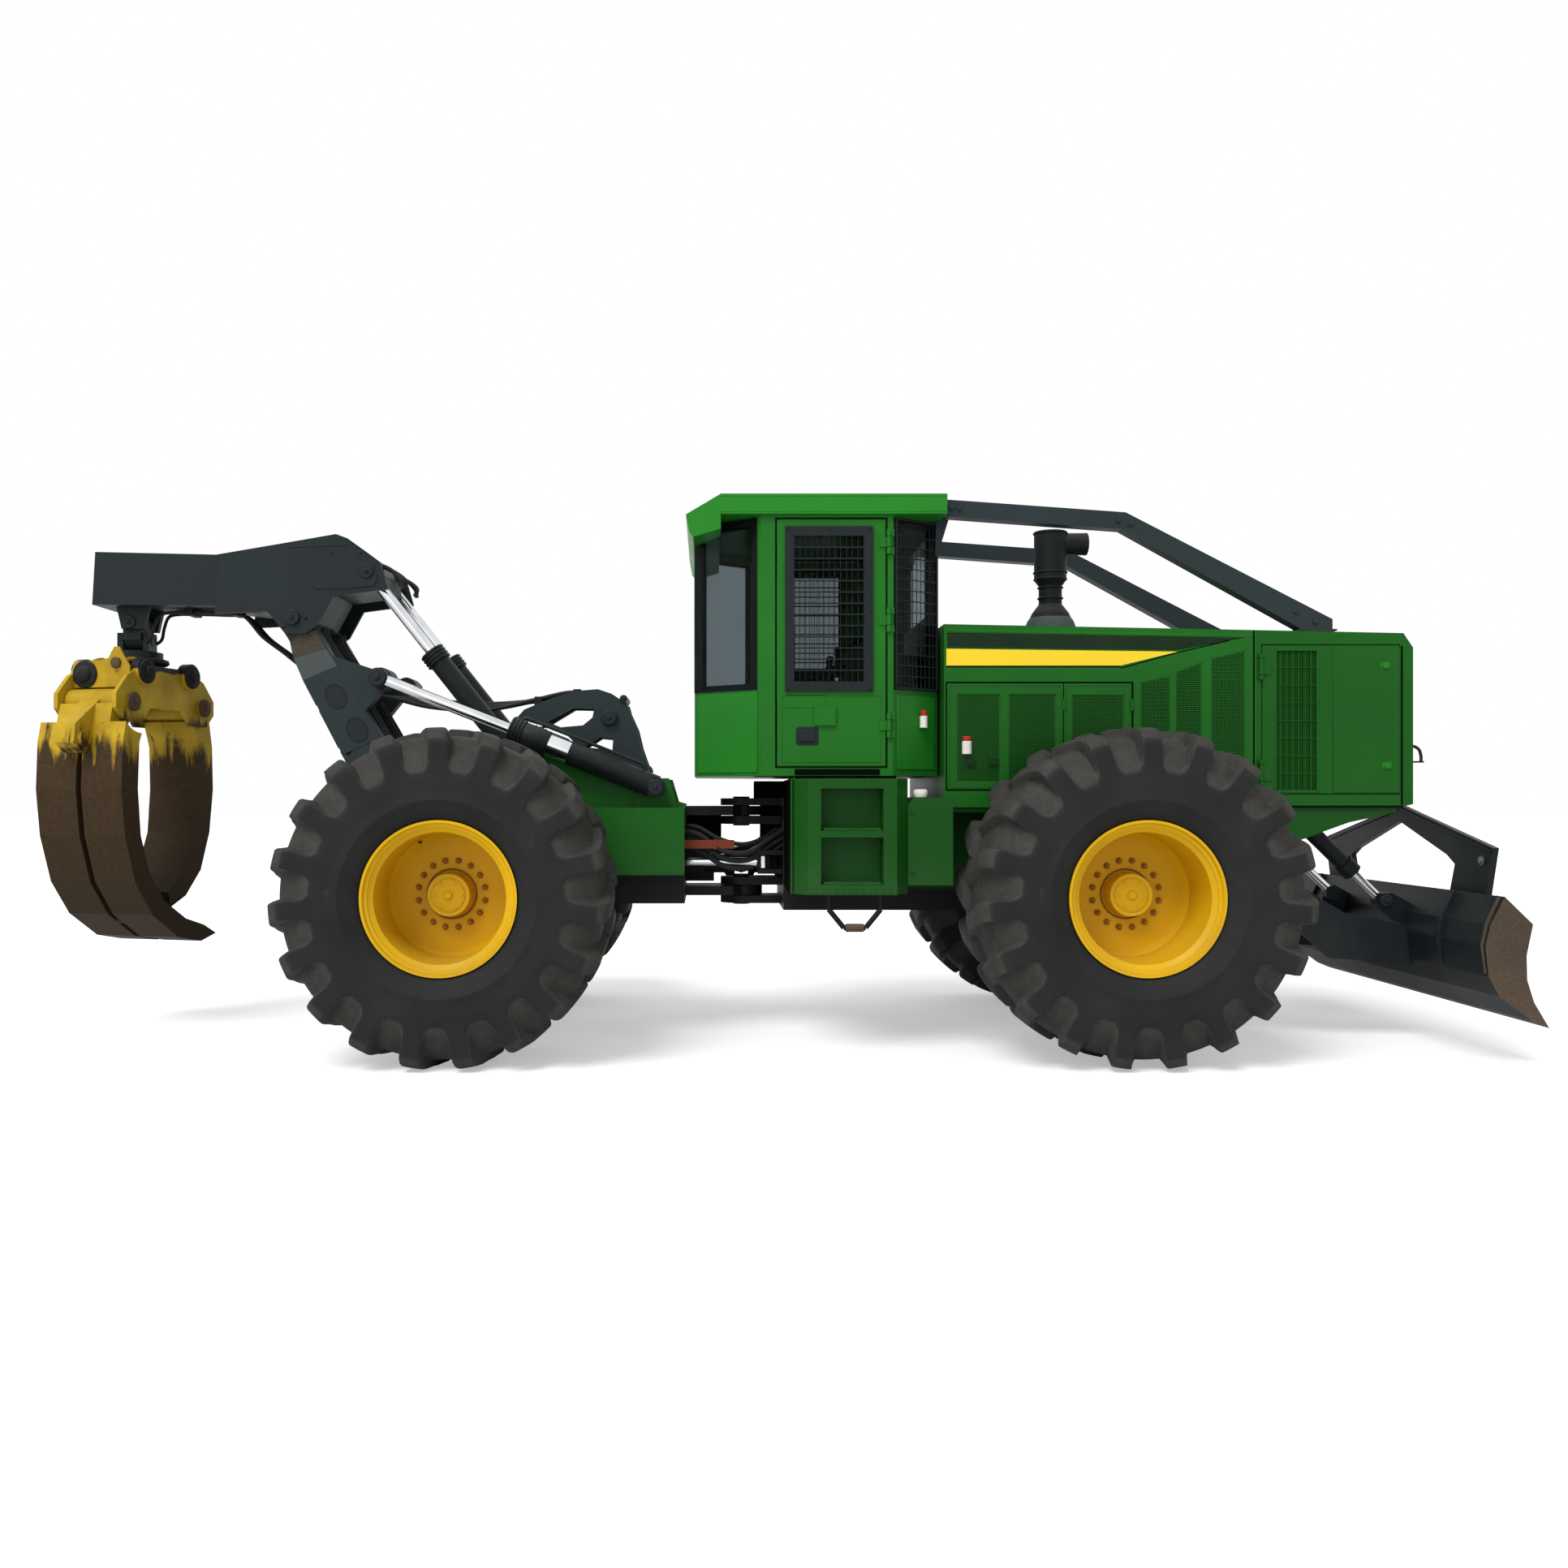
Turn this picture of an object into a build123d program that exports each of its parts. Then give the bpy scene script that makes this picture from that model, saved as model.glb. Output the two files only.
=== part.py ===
from build123d import *
import math
import os

# A four-wheel grapple skidder with a hinged frame, in millimetres. X runs forward to the blade, Y to the
# machine's left and Z up. Places are measured from the rear axle, on the ground, and every node is moved
# by SHIFT_X when it is written, so that the origin lies under the middle of the whole machine.

# Driving dimensions
WHEELBASE = 4000
AXLE_Z = 975
TYRE_R = 975
TYRE_W = 840
OVERALL_WIDTH = 3260
WHEEL_Y = OVERALL_WIDTH / 2 - TYRE_W / 2
BLADE_REACH = 6349
GRAPPLE_REACH = 2793
SHIFT_X = (GRAPPLE_REACH - BLADE_REACH) / 2
RUNNING_GAP = 0.05
CLEARANCE = 6

# Tyre and rim
LUG_COUNT = 19
LUG_DEPTH = 105
LUG_TIP = 100
LUG_RUN = 120
LUG_START = 8
LUG_DRAFT = 10
SHOULDER_R = 705
RIM_BORE_R = 407
RIM_FLANGE_R = 445
RIM_HALF_WIDTH = 365
DISC_Y = -75
DISC_THICKNESS = 30
HUB_R = 150
HUB_COVER_R = 132
SPINDLE_R = 90

# Frames
PIVOT_X = 1745
FRAME_HALF_WIDTH = 430
FRAME_BOTTOM = 820
DECK_Z = 1485
DECK_THICKNESS = 30
FRONT_WALL_X = 2007
REAR_WALL_X = 1370
REAR_END_X = -750
PLATE_T = 45
PIVOT_PIN_R = 55
PIVOT_LUG_R = 140
DRAWBAR_X = -805
DRAWBAR_Z = 905
DRAWBAR_BORE_R = 25

# Cab
CAB_FLOOR_Z = 1680
CAB_TOP_Z = 3350
CAB_WALL = 60
CAB_REAR_X = 1435
CAB_FRONT_X = 2970
CAB_SIDE_Y = 830
CAB_REAR_Y = 490
CAB_NOSE_Y = 600
CAB_SIDE_X0 = 1850
CAB_SIDE_X1 = 2660
ROOF_Z0 = CAB_TOP_Z - 65
ROOF_Z1 = CAB_TOP_Z + 70
ROOF_LIP = 35
DOOR_X0 = 1940
DOOR_X1 = 2620
DOOR_Z0 = 1735
DOOR_Z1 = CAB_TOP_Z - 85
DOOR_GAP = 6
DOOR_HINGE = (2634, 846)
DOOR_HINGE_HEIGHTS = (DOOR_Z0 + 255, (DOOR_Z0 + DOOR_Z1) / 2 + 140, DOOR_Z1 - 145)
WINDOW_Z0 = 2230
GLASS_Z1 = CAB_TOP_Z - 110
PANE_T = 8
GUARD_WIRES = 12

# Hood and cooler housing
HOOD_X0 = 2990
HOOD_X1 = 4935
HOOD_FRONT_X = 5910
HOOD_HALF_WIDTH = WHEEL_Y - TYRE_W / 2 - 50
HOOD_TOP_REAR = 2626
HOOD_TOP_FRONT = 2570
HOOD_WALL = 40
PANEL_DEPTH = 10
STACK_X = 3783
STACK_Y = -200
HOOD_PANELS = (
    # lowest and highest X, then the height of the panel's top at each
    (3070, 3339, 2190, 2190),
    (3393, 3686, 2190, 2190),
    (3786, 4111, 2185, 2185),
    (4211, 4400, 2265, 2305),
    (4430, 4596, 2330, 2390),
    (4650, 4865, 2415, 2463),
)
LOUVRE_STRIP = ((3010, 2480), (4440, 2462), (4860, 2540), (3010, 2572))
COOLER_DOOR_X0 = 4965
COOLER_DOOR_X1 = 5830
COOLER_DOOR_Z0 = 1565
COOLER_DOOR_Z1 = 2500
COOLER_HINGE = (4958, HOOD_HALF_WIDTH + 16)
COOLER_HINGE_HEIGHTS = (1700, 2360)
GUARD_BAR = 105
GUARD_Y = HOOD_HALF_WIDTH - 55
BLADE_WIDTH = 2840

# Linkage pins, as X and Z
ARCH_BASE = (-430, 1300)
ARCH_TOP = (-1170, 2710)
ARCH_CYL_BASE = (1187, 1612)
ARCH_CYL_EYE = (-580, 2310)
BOOM_CYL_BASE = (440, 1580)
BOOM_CYL_EYE = (-690, 3010)
BLADE_PIVOT = (5150, 950)
BLADE_CYL_BASE = (5400, 1360)
BLADE_CYL_EYE = (5890, 880)
CROSSHEAD_PIN = (-2335, 2715)

STEER_REAR = (750, 220)
STEER_FRONT = (1885, 310)
STEER_Z = 1126

GRAPPLE_TURN = 75
TONG_PIN_U = 375
TONG_PIN_Z = 2165
TONG_PIN_R = 42
HEAD_TOP_Z = CROSSHEAD_PIN[1] - 276
HEAD_PLATE_Y = (205, 235)
TONG_EAR_Y = 199
CRADLE_Z = 1215
TANK_X1 = WHEELBASE - TYRE_R - 40
TANK_X0 = TANK_X1 - 270
STEP_X0 = 2030
DRAWBAR_TONGUE_R = 60

# Cylinders
GLAND_LENGTH = 90
EYE_HALF_WIDTH = 38
STEER_BARREL_R = 50
STEER_ROD_R = 28
STEER_BARREL_END = 570
STEER_ROD_START = 420
STEER_EYE_R = 52
STEER_PIN_R = 30

# Half widths of the linkage, measured from the centre plane
BOOM_Y = 250
LEG_Y0 = 262
LEG_Y1 = 375
CHEEK_Y0 = LEG_Y1 + CLEARANCE
CHEEK_Y1 = CHEEK_Y0 + 24
BOOM_CYL_Y = 315
ARCH_CYL_Y = 525
BLADE_CYL_Y = 360


def block(x, y, z):
    """A box given by its lowest and highest value along each axis."""
    size = [high - low for low, high in (x, y, z)]
    middle = [(high + low) / 2 for low, high in (x, y, z)]
    return Pos(*middle) * Box(*size)


def side_plate(points, y_low, y_high):
    """A plate whose outline is given as X and Z, between two values of Y."""
    face = make_face(Polyline(*points, close=True))
    return Pos(0, y_high, 0) * Rot(90, 0, 0) * extrude(face, y_high - y_low)


def cross_plate(points, x_low, x_high):
    """A plate whose outline is given as Y and Z, between two values of X."""
    face = Plane.YZ * make_face(Polyline(*points, close=True))
    return Pos(x_low, 0, 0) * extrude(face, x_high - x_low)


def flat_plate(points, z_low, z_high):
    """A plate whose outline is given as X and Y, between two heights."""
    face = make_face(Polyline(*points, close=True))
    return Pos(0, 0, z_low) * extrude(face, z_high - z_low)


def pin_y(place, radius, y_low, y_high):
    """A round bar along Y at a place given as X and Z."""
    return Pos(place[0], (y_low + y_high) / 2, place[1]) * Rot(90, 0, 0) * Cylinder(radius, y_high - y_low)


def pin_z(place, radius, z_low, z_high):
    """A round bar along Z at a place given as X and Y."""
    return Pos(place[0], place[1], (z_low + z_high) / 2) * Cylinder(radius, z_high - z_low)


def bar_between(start, end, radius):
    """A round bar between two points in space."""
    line = Vector(*end) - Vector(*start)
    plane = Plane(origin=Vector(*start), z_dir=line.normalized())
    return plane * Pos(0, 0, line.length / 2) * Cylinder(radius, line.length)


def both_sides(solid):
    """The solid and its mirror image across the centre plane."""
    return [solid, mirror(solid, about=Plane.XZ)]


def fuse(pieces):
    """One shape from several that meet."""
    total = pieces[0]
    for piece in pieces[1:]:
        total = total + piece
    return total


def write(name, *shapes):
    """Moves the shapes to the machine's own frame and writes one node."""
    solids = []
    for shape in shapes:
        moved = Pos(SHIFT_X, 0, 0) * shape
        solids.extend(moved.solids())
    shape = solids[0] if len(solids) == 1 else Compound(children=solids)
    export_step(shape, f"parts/{name}.step")


def revolve_section(points):
    """A ring from a closed outline given as radius and distance along the axle."""
    return revolve(make_face(Polyline(*points, close=True)), Axis.Y, 360)


def flat_ring(section, sides):
    """A ring with flat sides, from a closed section given as radius to the flats and distance along Y."""
    stretch = 1 / math.cos(math.pi / sides)
    corners = []
    for index in range(sides):
        turn = 2 * math.pi * (index + 0.5) / sides
        corners.append([(r * stretch * math.sin(turn), y, r * stretch * math.cos(turn)) for r, y in section])
    faces = []
    for index, here in enumerate(corners):
        beyond = corners[(index + 1) % sides]
        for k in range(len(section)):
            m = (k + 1) % len(section)
            faces.append(make_face(Polyline(here[k], here[m], beyond[m], beyond[k], close=True)))
    return Solid(Shell(faces))


def lug_top():
    """A lug's farthest corner along the tread, and the height of its flat top that puts it on the tyre's radius."""
    corner = LUG_RUN * (0.5 - LUG_START / (TYRE_W / 2)) + LUG_TIP / 2
    return corner, math.sqrt(TYRE_R ** 2 - corner ** 2)


def lug():
    """A slanted lug of the tread's left half, wider at its foot, whose end is flush with the sidewall."""
    half = TYRE_W / 2
    tip = lug_top()[1]
    foot_r = SHOULDER_R - 40
    foot = LUG_TIP / 2 + (tip - foot_r) * math.tan(math.radians(LUG_DRAFT))
    slope = LUG_RUN / half
    plan = []
    for side in (-foot, foot):
        for y in (-2 * half, 3 * half):
            plan.append((side + slope * (y - half / 2), y))
    plan = [plan[0], plan[2], plan[3], plan[1]]
    face = make_face(Polyline(*plan, close=True))
    body = Pos(0, 0, foot_r) * extrude(face, tip - foot_r, taper=LUG_DRAFT)
    outline = [
        (LUG_START, TYRE_R - LUG_DEPTH - 20),
        (LUG_START, tip),
        (half - 60, tip),
        (half, tip - 70),
        (half, foot_r),
        (half - 130, TYRE_R - LUG_DEPTH - 20),
    ]
    return body & cross_plate(outline, -half, half)


def tyre():
    """The tyre: a flat-sided carcass with staggered lugs, and scooped shoulders between them."""
    half = TYRE_W / 2
    bead = RIM_HALF_WIDTH - 24
    outer_half = [
        (RIM_BORE_R, bead),
        (RIM_FLANGE_R + 1, bead + 8),
        (RIM_FLANGE_R + 55, bead + 44),
        (SHOULDER_R - 65, half),
        (SHOULDER_R, half),
        (TYRE_R - LUG_DEPTH, half - 130),
    ]
    inner_half = [(r, -y) for r, y in reversed(outer_half)]
    carcass = flat_ring(outer_half + inner_half, LUG_COUNT)
    pitch = 360 / LUG_COUNT
    left = lug()
    right = mirror(left, about=Plane.XZ)
    lugs = []
    for index in range(LUG_COUNT):
        lugs.append(Rot(0, index * pitch, 0) * left)
        lugs.append(Rot(0, (index + 0.5) * pitch, 0) * right)
    # Turned so that a lug's corner stands exactly on the ground
    stand = math.degrees(math.atan2(*lug_top()))
    return Rot(0, 180 + stand, 0) * carcass.fuse(*lugs)


def rim():
    """The deep-dished rim with its disc, hub and hub cover, open inside for the axle's spindle."""
    half = RIM_HALF_WIDTH
    seat = RIM_BORE_R - 0.3
    bore = SPINDLE_R + RUNNING_GAP
    back = DISC_Y - DISC_THICKNESS
    return revolve_section([
        (RIM_FLANGE_R, half),
        (RIM_FLANGE_R, half - 15),
        (seat, half - 23),
        (seat, 23 - half),
        (RIM_FLANGE_R, 15 - half),
        (RIM_FLANGE_R, -half),
        (seat - 19, 20 - half),
        (seat - 19, back),
        (HUB_R + 20, back),
        (HUB_R + 20, back - 65),
        (bore, back - 65),
        (bore, -20),
        (0, -20),
        (0, 45),
        (HUB_COVER_R - 8, 45),
        (HUB_COVER_R, DISC_Y),
        (335, DISC_Y),
        (368, DISC_Y + 40),
        (377, half - 55),
        (RIM_FLANGE_R - 22, half - 20),
        (RIM_FLANGE_R - 15, half),
    ])


def axle(x):
    """A rigid axle with its differential casing, tubes, end flanges and spindles."""
    inner_end = WHEEL_Y + DISC_Y - DISC_THICKNESS - 65 - CLEARANCE
    section = [
        (0, 0),
        (235, 0),
        (225, 90),
        (165, 210),
        (128, 300),
        (128, 560),
        (190, 640),
        (205, 700),
        (205, inner_end - 40),
        (170, inner_end),
        (SPINDLE_R, inner_end),
        (SPINDLE_R, WHEEL_Y - 20 - CLEARANCE),
        (0, WHEEL_Y - 20 - CLEARANCE),
    ]
    half = Pos(x, 0, AXLE_Z) * revolve_section(section)
    return half + mirror(half, about=Plane.XZ)


def write_wheels():
    """Four wheels, each a rim and a tyre, the right ones mirrored from the left."""
    left_tyre = tyre()
    left_rim = rim()
    for end, x in (("front", WHEELBASE), ("rear", 0)):
        for side, sign in (("left", 1), ("right", -1)):
            for part_name, shape in (("tyre", left_tyre), ("rim", left_rim)):
                solid = shape if sign > 0 else mirror(shape, about=Plane.XZ)
                write(f"{part_name}_{end}_{side}", Pos(x, sign * WHEEL_Y, AXLE_Z) * solid)


def write_rear_frame():
    """The rear frame: two side plates with decks between them, hinge lugs and a box on each side."""
    plate_y = FRAME_HALF_WIDTH - PLATE_T
    outline = [
        (REAR_END_X, FRAME_BOTTOM + 42),
        (REAR_END_X, 1560),
        (-560, 1800),
        (380, 1880),
        (1018, 1600),
        (REAR_WALL_X, 1500),
        (REAR_WALL_X, FRAME_BOTTOM + 42),
    ]
    plate = side_plate(outline, plate_y, FRAME_HALF_WIDTH)
    plate = plate - pin_y((0, AXLE_Z), 128.3, plate_y - 1, FRAME_HALF_WIDTH + 1)
    boss = pin_y(ARCH_BASE, 110, plate_y - 8, FRAME_HALF_WIDTH + 25)
    bore = pin_y(ARCH_BASE, 45 + RUNNING_GAP, plate_y - 10, FRAME_HALF_WIDTH + 30)
    plate = (plate + boss) - bore
    y = (-plate_y, plate_y)
    pieces = both_sides(plate)
    pieces.append(block((REAR_END_X, REAR_END_X + 40), y, (FRAME_BOTTOM + 42, 1200)))
    # The drawbar's tongue with its pin bore
    r = DRAWBAR_TONGUE_R
    tongue = block((DRAWBAR_X, REAR_END_X + 20), (-r, r), (DRAWBAR_Z - 25, DRAWBAR_Z + 25))
    tongue = tongue + pin_z((DRAWBAR_X, 0), r, DRAWBAR_Z - 25, DRAWBAR_Z + 25)
    pieces.append(tongue - pin_z((DRAWBAR_X, 0), DRAWBAR_BORE_R, DRAWBAR_Z - 30, DRAWBAR_Z + 30))
    pieces.append(block((REAR_END_X + 40, -270), y, (FRAME_BOTTOM + 42, FRAME_BOTTOM + 82)))
    pieces.append(block((270, REAR_WALL_X), y, (FRAME_BOTTOM + 42, FRAME_BOTTOM + 82)))
    deck = [(760, 1400), (760, 1560), (1018, 1560), (REAR_WALL_X, 1490), (REAR_WALL_X, 1400)]
    pieces.append(side_plate(deck, -plate_y, plate_y))
    wall = block((REAR_WALL_X - 30, REAR_WALL_X), y, (FRAME_BOTTOM + 82, 1400))
    for sign in (1, -1):
        window_y = sorted((sign * 130, sign * 380))
        wall = wall - block((REAR_WALL_X - 40, REAR_WALL_X + 10), window_y, (1020, 1290))
    pieces.append(wall)
    for z_low, z_high in ((1428, 1488), (898, 958)):
        lug = block((REAR_WALL_X - 60, PIVOT_X - 60), (-190, 190), (z_low, z_high))
        neck = [(PIVOT_X - 60, -190), (PIVOT_X - 60, 190), (PIVOT_X, PIVOT_LUG_R), (PIVOT_X, -PIVOT_LUG_R)]
        lug = lug + flat_plate(neck, z_low, z_high)
        lug = lug + pin_z((PIVOT_X, 0), PIVOT_LUG_R, z_low, z_high)
        lug = lug - pin_z((PIVOT_X, 0), PIVOT_PIN_R + RUNNING_GAP, z_low - 5, z_high + 5)
        pieces.append(lug)
    # The cross pins that carry the boom cylinders
    pieces.append(pin_y(BOOM_CYL_BASE, 38, -plate_y - 10, plate_y + 10))
    for pin in both_sides(pin_z(STEER_REAR, STEER_PIN_R, STEER_Z - 60, STEER_Z + 60)):
        pieces.append(pin)
    for z_low, z_high in ((STEER_Z - 82, STEER_Z - 57), (STEER_Z + 57, STEER_Z + 82)):
        pieces.append(block((690, 815), y, (z_low, z_high)))
    for side_box in both_sides(block((620, REAR_WALL_X), (FRAME_HALF_WIDTH, 550), (1050, 1480))):
        pieces.append(side_box)
    # Ears for the arch cylinders, outside the side plates
    # They pass under the cab's floor when the frame hinge turns
    ear_top = CAB_FLOOR_Z - 10
    ear = side_plate([(1040, 1470), (1090, ear_top), (1270, ear_top), (1330, 1470)], 430, 446)
    for piece in both_sides(ear + pin_y(ARCH_CYL_BASE, 40, 430, 600)):
        pieces.append(piece)
    write("rear_frame", fuse(pieces))


def write_front_frame():
    """The front frame: a box behind the axle, a cradle over it, a nose and the upper deck."""
    half = FRAME_HALF_WIDTH
    outline = [
        (FRONT_WALL_X, FRAME_BOTTOM),
        (WHEELBASE - 580, FRAME_BOTTOM),
        (WHEELBASE - 360, CRADLE_Z),
        (WHEELBASE + 360, CRADLE_Z),
        (WHEELBASE + 600, 860),
        (5300, 860),
        (5300, DECK_Z - DECK_THICKNESS),
        (FRONT_WALL_X, DECK_Z - DECK_THICKNESS),
    ]
    frame = side_plate(outline, -half, half)
    pieces = [frame]
    lip = HOOD_HALF_WIDTH - 20
    deck = [(FRONT_WALL_X, -half), (HOOD_X0, -half), (HOOD_X0, -lip), (5820, -lip)]
    deck = deck + [(x, -y) for x, y in reversed(deck)]
    pieces.append(flat_plate(deck, DECK_Z - DECK_THICKNESS, DECK_Z))
    nose = [(4960, 1215), (5240, 1290), (5520, 1390), (5820, 1456), (4960, 1456)]
    pieces.extend(both_sides(side_plate(nose, lip - 120, lip)))
    pieces.append(block((4960, 5020), (-lip + 100, lip - 100), (1215, 1456)))
    # Fork plates of the frame hinge, above and below each lug of the rear frame
    for z_low, z_high in ((1368, 1422), (1494, 1540), (842, 892), (964, 1014)):
        fork = block((PIVOT_X, FRONT_WALL_X + 40), (-PIVOT_LUG_R, PIVOT_LUG_R), (z_low, z_high))
        pieces.append(fork + pin_z((PIVOT_X, 0), PIVOT_LUG_R, z_low, z_high))
    pieces.append(pin_z((PIVOT_X, 0), PIVOT_PIN_R, 830, 1030))
    pieces.append(pin_z((PIVOT_X, 0), PIVOT_PIN_R, 1356, 1552))
    pieces.append(block((FRONT_WALL_X, FRONT_WALL_X + 60), (-PIVOT_LUG_R, PIVOT_LUG_R), (1400, 1540)))
    # Blocks that carry the cab floor, and the block that carries the axle's casing
    for x in (2080, 2560):
        for y in (-380, 240):
            pieces.append(block((x, x + 180), (y, y + 140), (DECK_Z, CAB_FLOOR_Z)))
    saddle = block((WHEELBASE - 150, WHEELBASE + 150), (-120, 120), (AXLE_Z + 160, CRADLE_Z + 5))
    pieces.append(saddle - pin_y((WHEELBASE, AXLE_Z), 235.3, -130, 130))
    # Ears of the blade arms and of the blade cylinders
    for pin in both_sides(pin_y(BLADE_PIVOT, 50, half - 10, half + 110)):
        pieces.append(pin)
    for y0 in (BLADE_CYL_Y - 92, BLADE_CYL_Y + 58):
        ear = side_plate([(5290, 1260), (5290, 1450), (5440, 1450), (5460, 1330), (5420, 1300)], y0, y0 + 34)
        pieces.extend(both_sides(ear))
    for pin in both_sides(pin_y(BLADE_CYL_BASE, 30, BLADE_CYL_Y - 70, BLADE_CYL_Y + 70)):
        pieces.append(pin)
    # Brackets of the steering rods
    for z_low, z_high in ((STEER_Z - 76, STEER_Z - 46), (STEER_Z + 46, STEER_Z + 76)):
        bracket = block((1845, FRONT_WALL_X + 5), (STEER_FRONT[1] - 60, STEER_FRONT[1] + 60), (z_low, z_high))
        pieces.extend(both_sides(bracket))
    write("front_frame", fuse(pieces))


def cylinder_axis(base, eye, y):
    """The start and unit direction of a cylinder that lies in an upright plane."""
    start = Vector(base[0], y, base[1])
    line = Vector(eye[0], y, eye[1]) - start
    return start, line.normalized(), line.length


def write_cylinder_pair(name, base, eye, y, barrel_r, rod_r, barrel_end, rod_start, eye_r, pin_r):
    """A cylinder on each side: a barrel hinged at its base and a rod with an eye at its far end."""
    start, line, length = cylinder_axis(base, eye, y)
    barrel = bar_between(start + line * eye_r * 0.5, start + line * barrel_end, barrel_r)
    gland = bar_between(start + line * (barrel_end - GLAND_LENGTH), start + line * barrel_end, barrel_r + 11)
    knuckle = pin_y(base, eye_r, y - barrel_r * 0.8, y + barrel_r * 0.8)
    bore = bar_between(start + line * (eye_r + 25), start + line * (barrel_end + 5), rod_r + 0.6)
    pin_hole = pin_y(base, pin_r + RUNNING_GAP, y - 200, y + 200)
    rod = bar_between(start + line * rod_start, start + line * (length - eye_r * 0.6), rod_r)
    rod_eye = pin_y(eye, eye_r, y - EYE_HALF_WIDTH, y + EYE_HALF_WIDTH)
    write(f"{name}_barrels", *both_sides((barrel + gland + knuckle) - bore - pin_hole))
    write(f"{name}_rods", *both_sides(rod + rod_eye))


def write_steering():
    """A steering cylinder on each side of the frame hinge, lying flat."""
    length = math.dist(STEER_REAR, STEER_FRONT)
    turn = math.degrees(math.atan2(STEER_FRONT[1] - STEER_REAR[1], STEER_FRONT[0] - STEER_REAR[0]))
    along = Rot(0, 90, 0)
    barrel = Pos(STEER_BARREL_END / 2 + 15, 0, 0) * along * Cylinder(STEER_BARREL_R, STEER_BARREL_END - 30)
    barrel = barrel + Cylinder(STEER_EYE_R, 2 * EYE_HALF_WIDTH)
    bore_start = STEER_EYE_R + 25
    bore_length = STEER_BARREL_END - bore_start + 5
    barrel = barrel - Pos(bore_start + bore_length / 2, 0, 0) * along * Cylinder(STEER_ROD_R + 0.6, bore_length)
    barrel = barrel - Cylinder(STEER_PIN_R + RUNNING_GAP, 200)
    rod_length = length - STEER_ROD_START - 25
    rod = Pos(STEER_ROD_START + rod_length / 2, 0, 0) * along * Cylinder(STEER_ROD_R, rod_length)
    rod = rod + Pos(length, 0, 0) * Cylinder(STEER_EYE_R, 2 * EYE_HALF_WIDTH)
    place = Pos(STEER_REAR[0], STEER_REAR[1], STEER_Z) * Rot(0, 0, turn)
    for part_name, shape in (("barrel", barrel), ("rod", rod)):
        left = place * shape
        write(f"steering_{part_name}_left", left)
        write(f"steering_{part_name}_right", mirror(left, about=Plane.XZ))


CYLINDERS = (
    # name, base pin, rod eye, distance from the centre plane, barrel radius, rod radius,
    # end of the barrel, start of the rod, eye radius, base pin radius
    ("arch_cylinder", ARCH_CYL_BASE, ARCH_CYL_EYE, ARCH_CYL_Y, 75, 36, 1000, 640, 62, 40),
    ("boom_cylinder", BOOM_CYL_BASE, BOOM_CYL_EYE, BOOM_CYL_Y, 68, 36, 1170, 300, 72, 38),
    ("blade_cylinder", BLADE_CYL_BASE, BLADE_CYL_EYE, BLADE_CYL_Y, 52, 28, 430, 142, 50, 30),
)


def write_tower():
    """The bracket that stands on the rear deck, guides the hoses and carries a cross pin."""
    outline = [
        (250, 2075),
        (300, 2130),
        (490, 2210),
        (650, 2255),
        (790, 2265),
        (880, 2235),
        (985, 2165),
        (1000, 2110),
        (1050, 2000),
        (1080, 1875),
        (1120, 1760),
        (1150, 1662),
        (1290, 1640),
        (1240, 1540),
        (760, 1540),
        (640, 1900),
        (560, 1985),
    ]
    hole = [(457, 2046), (616, 2141), (764, 2138), (753, 2077), (690, 2025), (542, 2012)]
    slot = [(700, 1880), (800, 1945), (890, 1935), (885, 1860)]
    plate = side_plate(outline, 110, 160) - side_plate(hole, 100, 170) - side_plate(slot, 100, 170)
    pieces = both_sides(plate)
    pieces.append(block((780, 1120), (-160, 160), (1560, 1600)))
    pieces.append(pin_y((865, 2075), 55, -185, 185))
    pieces.append(pin_y((960, 2200), 26, -170, 170))
    tower = fuse(pieces)
    deck = [(760, 1400), (760, 1560), (1018, 1560), (REAR_WALL_X, 1490), (REAR_WALL_X, 1400)]
    write("tower_bracket", tower - side_plate(deck, -400, 400))


def write_arch():
    """The arch: two box legs joined by cross tubes, with ears for its cylinders."""
    leg = [
        (-1250, 2650),
        (-1193, 2559),
        (-1172, 2459),
        (-1108, 2305),
        (-854, 1819),
        (-545, 1275),
        (-330, 1275),
        (-300, 1390),
        (-595, 1941),
        (-790, 2250),
        (-886, 2411),
        (-1018, 2638),
        (-1080, 2720),
    ]
    ear = [(-960, 2480), (-640, 2375), (-520, 2330), (-520, 2270), (-600, 2235), (-700, 2110)]
    plate = side_plate(leg, LEG_Y0, LEG_Y1) + side_plate(ear, LEG_Y0 + 20, LEG_Y1)
    plate = plate + pin_y(ARCH_TOP, 105, LEG_Y0, LEG_Y1)
    plate = plate + pin_y(ARCH_BASE, 125, LEG_Y0, LEG_Y1)
    plate = plate + pin_y(ARCH_CYL_EYE, 70, LEG_Y0 + 20, ARCH_CYL_Y - EYE_HALF_WIDTH - CLEARANCE)
    for place in ((-960, 2170), (-810, 1900)):
        dent = Pos(place[0], LEG_Y1 + 45, place[1]) * Rot(0, 27, 0) * Box(90, 130, 150)
        plate = plate - dent
    plate = plate + pin_y(ARCH_BASE, 45, LEG_Y1 - 5, FRAME_HALF_WIDTH + 25)
    pieces = both_sides(plate)
    pieces.append(pin_y(ARCH_TOP, 45, -CHEEK_Y1 - 8, CHEEK_Y1 + 8))
    for place in ((-870, 2040), (-560, 1500)):
        pieces.append(pin_y(place, 70, -LEG_Y0 - 5, LEG_Y0 + 5))
    write("arch", fuse(pieces))


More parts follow.
